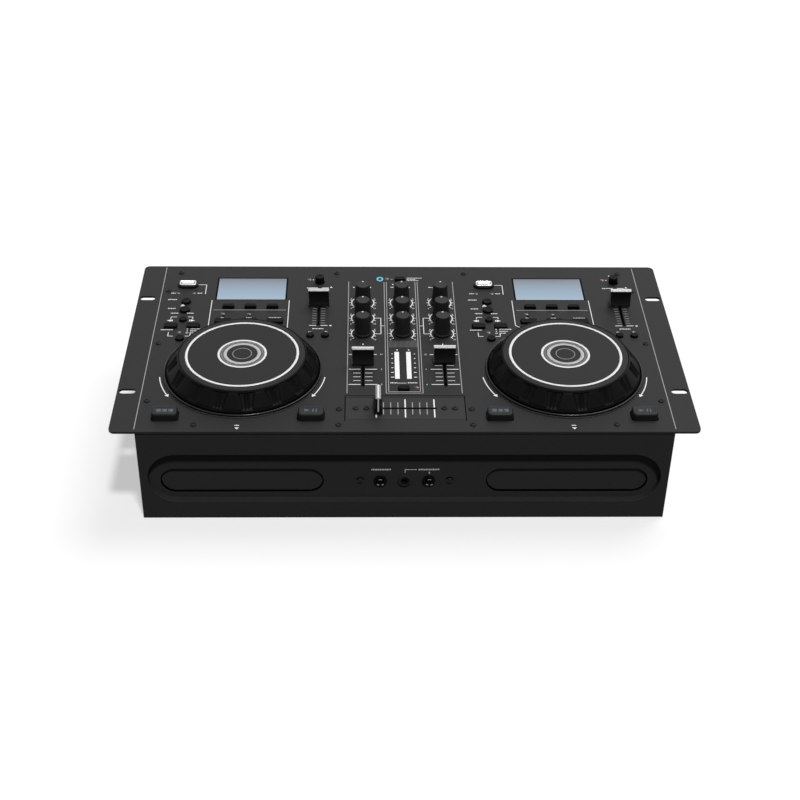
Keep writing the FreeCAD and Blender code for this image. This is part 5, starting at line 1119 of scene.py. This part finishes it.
# displays: a pale panel in a thin dark frame, glued over its opening, and a block beneath; the frame
# is painted shade for the shadow and gap at the opening's edges, wide at the rear and sides, narrow in front
displayShape = {"x": -0.3, "y": 132.9, "width": 65.6, "depth": 38.4, "glass": 91.62, "panel": 91.58,
                "base": 89.4, "foot": 83.6, "low": 91.52, "sides": 1.5, "rear": 1.5, "front": 0.5,
                "block": (71.8, 40.8)}


def displayParts(x, y):
    # the block beneath, four bars of painted-shade frame round the opening, and the panel between them
    d = displayShape
    wide, deep = d["width"] / 2, d["depth"] / 2
    left, right, near, far = x - wide, x + wide, y - deep, y + deep
    inLeft, inRight, inNear, inFar = left + d["sides"], right - d["sides"], near + d["front"], far - d["rear"]
    frameShadeBars = [(left, inLeft, near, far), (inRight, right, near, far), (inLeft, inRight, near, inNear),
                 (inLeft, inRight, inFar, far)]
    return [block(x, y, *d["block"], d["foot"], d["base"]),
            *(slab(*bar, d["low"], d["glass"]) for bar in frameShadeBars),
            (*slab(inLeft, inRight, inNear, inFar, d["low"], d["panel"]), 1)]


for side, jogX in deckSides.items():
    piece("display_" + side, joined(displayParts(jogX + displayShape["x"], jogY + displayShape["y"])),
          ["displayFrame", "displayPanel"], "chassis", "lcd_windows", smooth=False)
print("displays shaped")


# memory stick sockets: a rounded surround, a bright folded shell with flared lips, and a tongue
socketShape = {"x": -60, "y": 138.5, "length": 19.4, "width": 12.0, "rise": 2.6, "corner": 5.99,
               "shell": (14.8, 7.6), "shellCorner": 1.9, "mouth": (12.2, 4.4), "lift": 0.5, "flare": 0.7,
               "deep": 8, "tongue": (11.2, 3.4), "back": 0.3, "metal": 0.25}


def socketShell():
    # rounded rectangles stacked: up the outside, over the flared lip, down into the mouth
    s = socketShape
    top = skin + s["rise"] + s["lift"]
    width, depth = s["shell"]
    inset = (width - s["mouth"][0]) / 2
    levels = [(0.3, top - s["lift"] - 0.4), (0.05, top - 0.15), (0.15, top - 0.03), (0.35, top),
              (s["flare"], top - 0.12), (inset, top - 0.9), (inset, top - s["deep"])]
    return shell(levels, width, depth, s["shellCorner"], 8, closeTop=False)


for side, jogX in deckSides.items():
    s = socketShape
    x, y, top = jogX + s["x"], jogY + s["y"], skin + s["rise"]
    levels = [(0, skin + 0.02), (0.2, skin + 1.6)] + edgeRound(0.9, 7, 0.2, top - 0.02) + [(1.6, top - 0.02)]
    surround = shell(levels, s["length"], s["width"], s["corner"], 12)
    piece("socketSurround_" + side, moved(surround, x, y), "connectorPlastic", "chassis", "usb_sockets")
    metal = piece("socketShell_" + side, moved(socketShell(), x, y), "silverMetal", "chassis")
    metal.modifiers.new("wall", "SOLIDIFY").thickness = -s["metal"] * mm
    tongue = block(0, s["back"], *s["tongue"], top - s["deep"], top + 0.25)
    piece("socketTongue_" + side, moved(tongue, x, y), "meterBar", "chassis",
          smooth=False)
print("sockets shaped")


# level bars: two white bars on a dark block
meterShape = {"x": 5.1, "shift": -0.6, "y": -34.5, "bar": (4.0, 40.6), "top": 91.44, "base": 89.4,
              "foot": 80.6, "block": (20, 43.6)}


def meterParts():
    # the dark block, and a white bar on each side of its middle
    m = meterShape
    bars = [(*block(m["shift"] + sign * m["x"], m["y"], *m["bar"], m["base"] + 0.05, m["top"]), 1)
            for sign in (-1, 1)]
    return [block(m["shift"], m["y"], *m["block"], m["foot"], m["base"])] + bars


piece("levelMeter", joined(meterParts()), ["connectorPlastic", "meterBar"], "chassis", "level_meter",
      smooth=False)


# indicator lenses: small domes whose rim is darker, those of a deck measured from its wheel
lensShape = {"mixer": [(-12.8, 107.8), (10.5, -67.2)], "segments": 24, "core": 4,
             "deck": [(-67.9, 125), (-53.5, 125), (-60.8, 60), (-24.2, 90.4), (-0.6, 90.0), (52.4, 149.4)],
             "profile": [(1.2, -1.5), (1.2, 0.01), (2.0, 0.02), (1.9, 0.1), (1.0, 0.2), (0.85, 0.28),
                         (0.45, 0.37)]}


def dome():
    # the profile turned, with the rings from the core inwards in the paler red
    points, faces = turned(lensShape["profile"], lensShape["segments"])
    kinds = [int(index >= lensShape["core"] * lensShape["segments"]) for index in range(len(faces))]
    kinds[-2] = 0
    return points, faces, kinds


lensSpots = lensShape["mixer"] + [(jogX + x, jogY + y) for jogX in deckSides.values()
                                  for x, y in lensShape["deck"]]
piece("indicatorDomes", joined([moved(dome(), x, y, skin) for x, y in lensSpots]), ["redRim", "redLens"],
      "chassis", "indicator_lenses")
print("lenses shaped")


# floor, backdrop and light: a steep key from the front right, a softer one from behind on the
# right, and an even sky; half is half the floor's width in metres, and each lamp is strength,
# softness, height and bearing, the last three in degrees
studio = {"floor": (0.48, 0.48, 0.48), "paper": 0.5, "bounce": (0.03, 0.03, 0.03), "sky": 0.11, "half": 6,
          "lamps": {"keyLight": (2.05, 6, 68, -70), "rimLight": (1.5, 34, 58, 48)}}


def laidFloor():
    # it looks like bright paper to the camera and throws little light back on the object
    paper = Finish("floorPaper", Roughness=0.9, Specular_IOR_Level=0.1)
    shown = paper.seen()
    paper.set(Base_Color=paper.blend(shown, studio["bounce"], studio["floor"]), Emission_Strength=1.0,
              Emission_Color=paper.blend(shown, (0, 0, 0), (studio["paper"],) * 3))
    half = studio["half"]
    mesh = bpy.data.meshes.new("floor")
    corners = [(-half, -half, 0), (half, -half, 0), (half, half, 0), (-half, half, 0)]
    mesh.from_pydata(corners, [], [[0, 1, 2, 3]])
    mesh.materials.append(paper.material)
    return added("floor", mesh)


def hungLamp(name, strength, softness, height, bearing):
    sun = bpy.data.lights.new(name, "SUN")
    sun.energy, sun.angle = strength, math.radians(softness)
    height, bearing = math.radians(height), math.radians(bearing)
    level = math.cos(height)
    towards = Vector((level * math.cos(bearing), level * math.sin(bearing), math.sin(height)))
    added(name, sun).rotation_euler = towards.to_track_quat("Z", "Y").to_euler()


def openSky():
    # white to the camera, and a dim even light on the object
    world = bpy.data.worlds.new("studio")
    bpy.context.scene.world = world
    world.use_nodes = True
    sky = Graph(world.node_tree)
    dim = sky.tree.nodes["Background"]
    sky.plug(dim.inputs["Color"], (1, 1, 1))
    sky.plug(dim.inputs["Strength"], studio["sky"])
    white = sky.node("ShaderNodeBackground", None, {"Color": (1, 1, 1)})
    mixed = sky.node("ShaderNodeMixShader", None, {0: sky.seen(), 1: Wire(sky, dim.outputs[0]), 2: white})
    sky.plug(sky.tree.nodes["World Output"].inputs["Surface"], mixed)


floor = laidFloor()
for name, values in studio["lamps"].items():
    hungLamp(name, *values)
openSky()
bpy.context.scene.view_settings.view_transform = "Standard"

print("light and floor set")
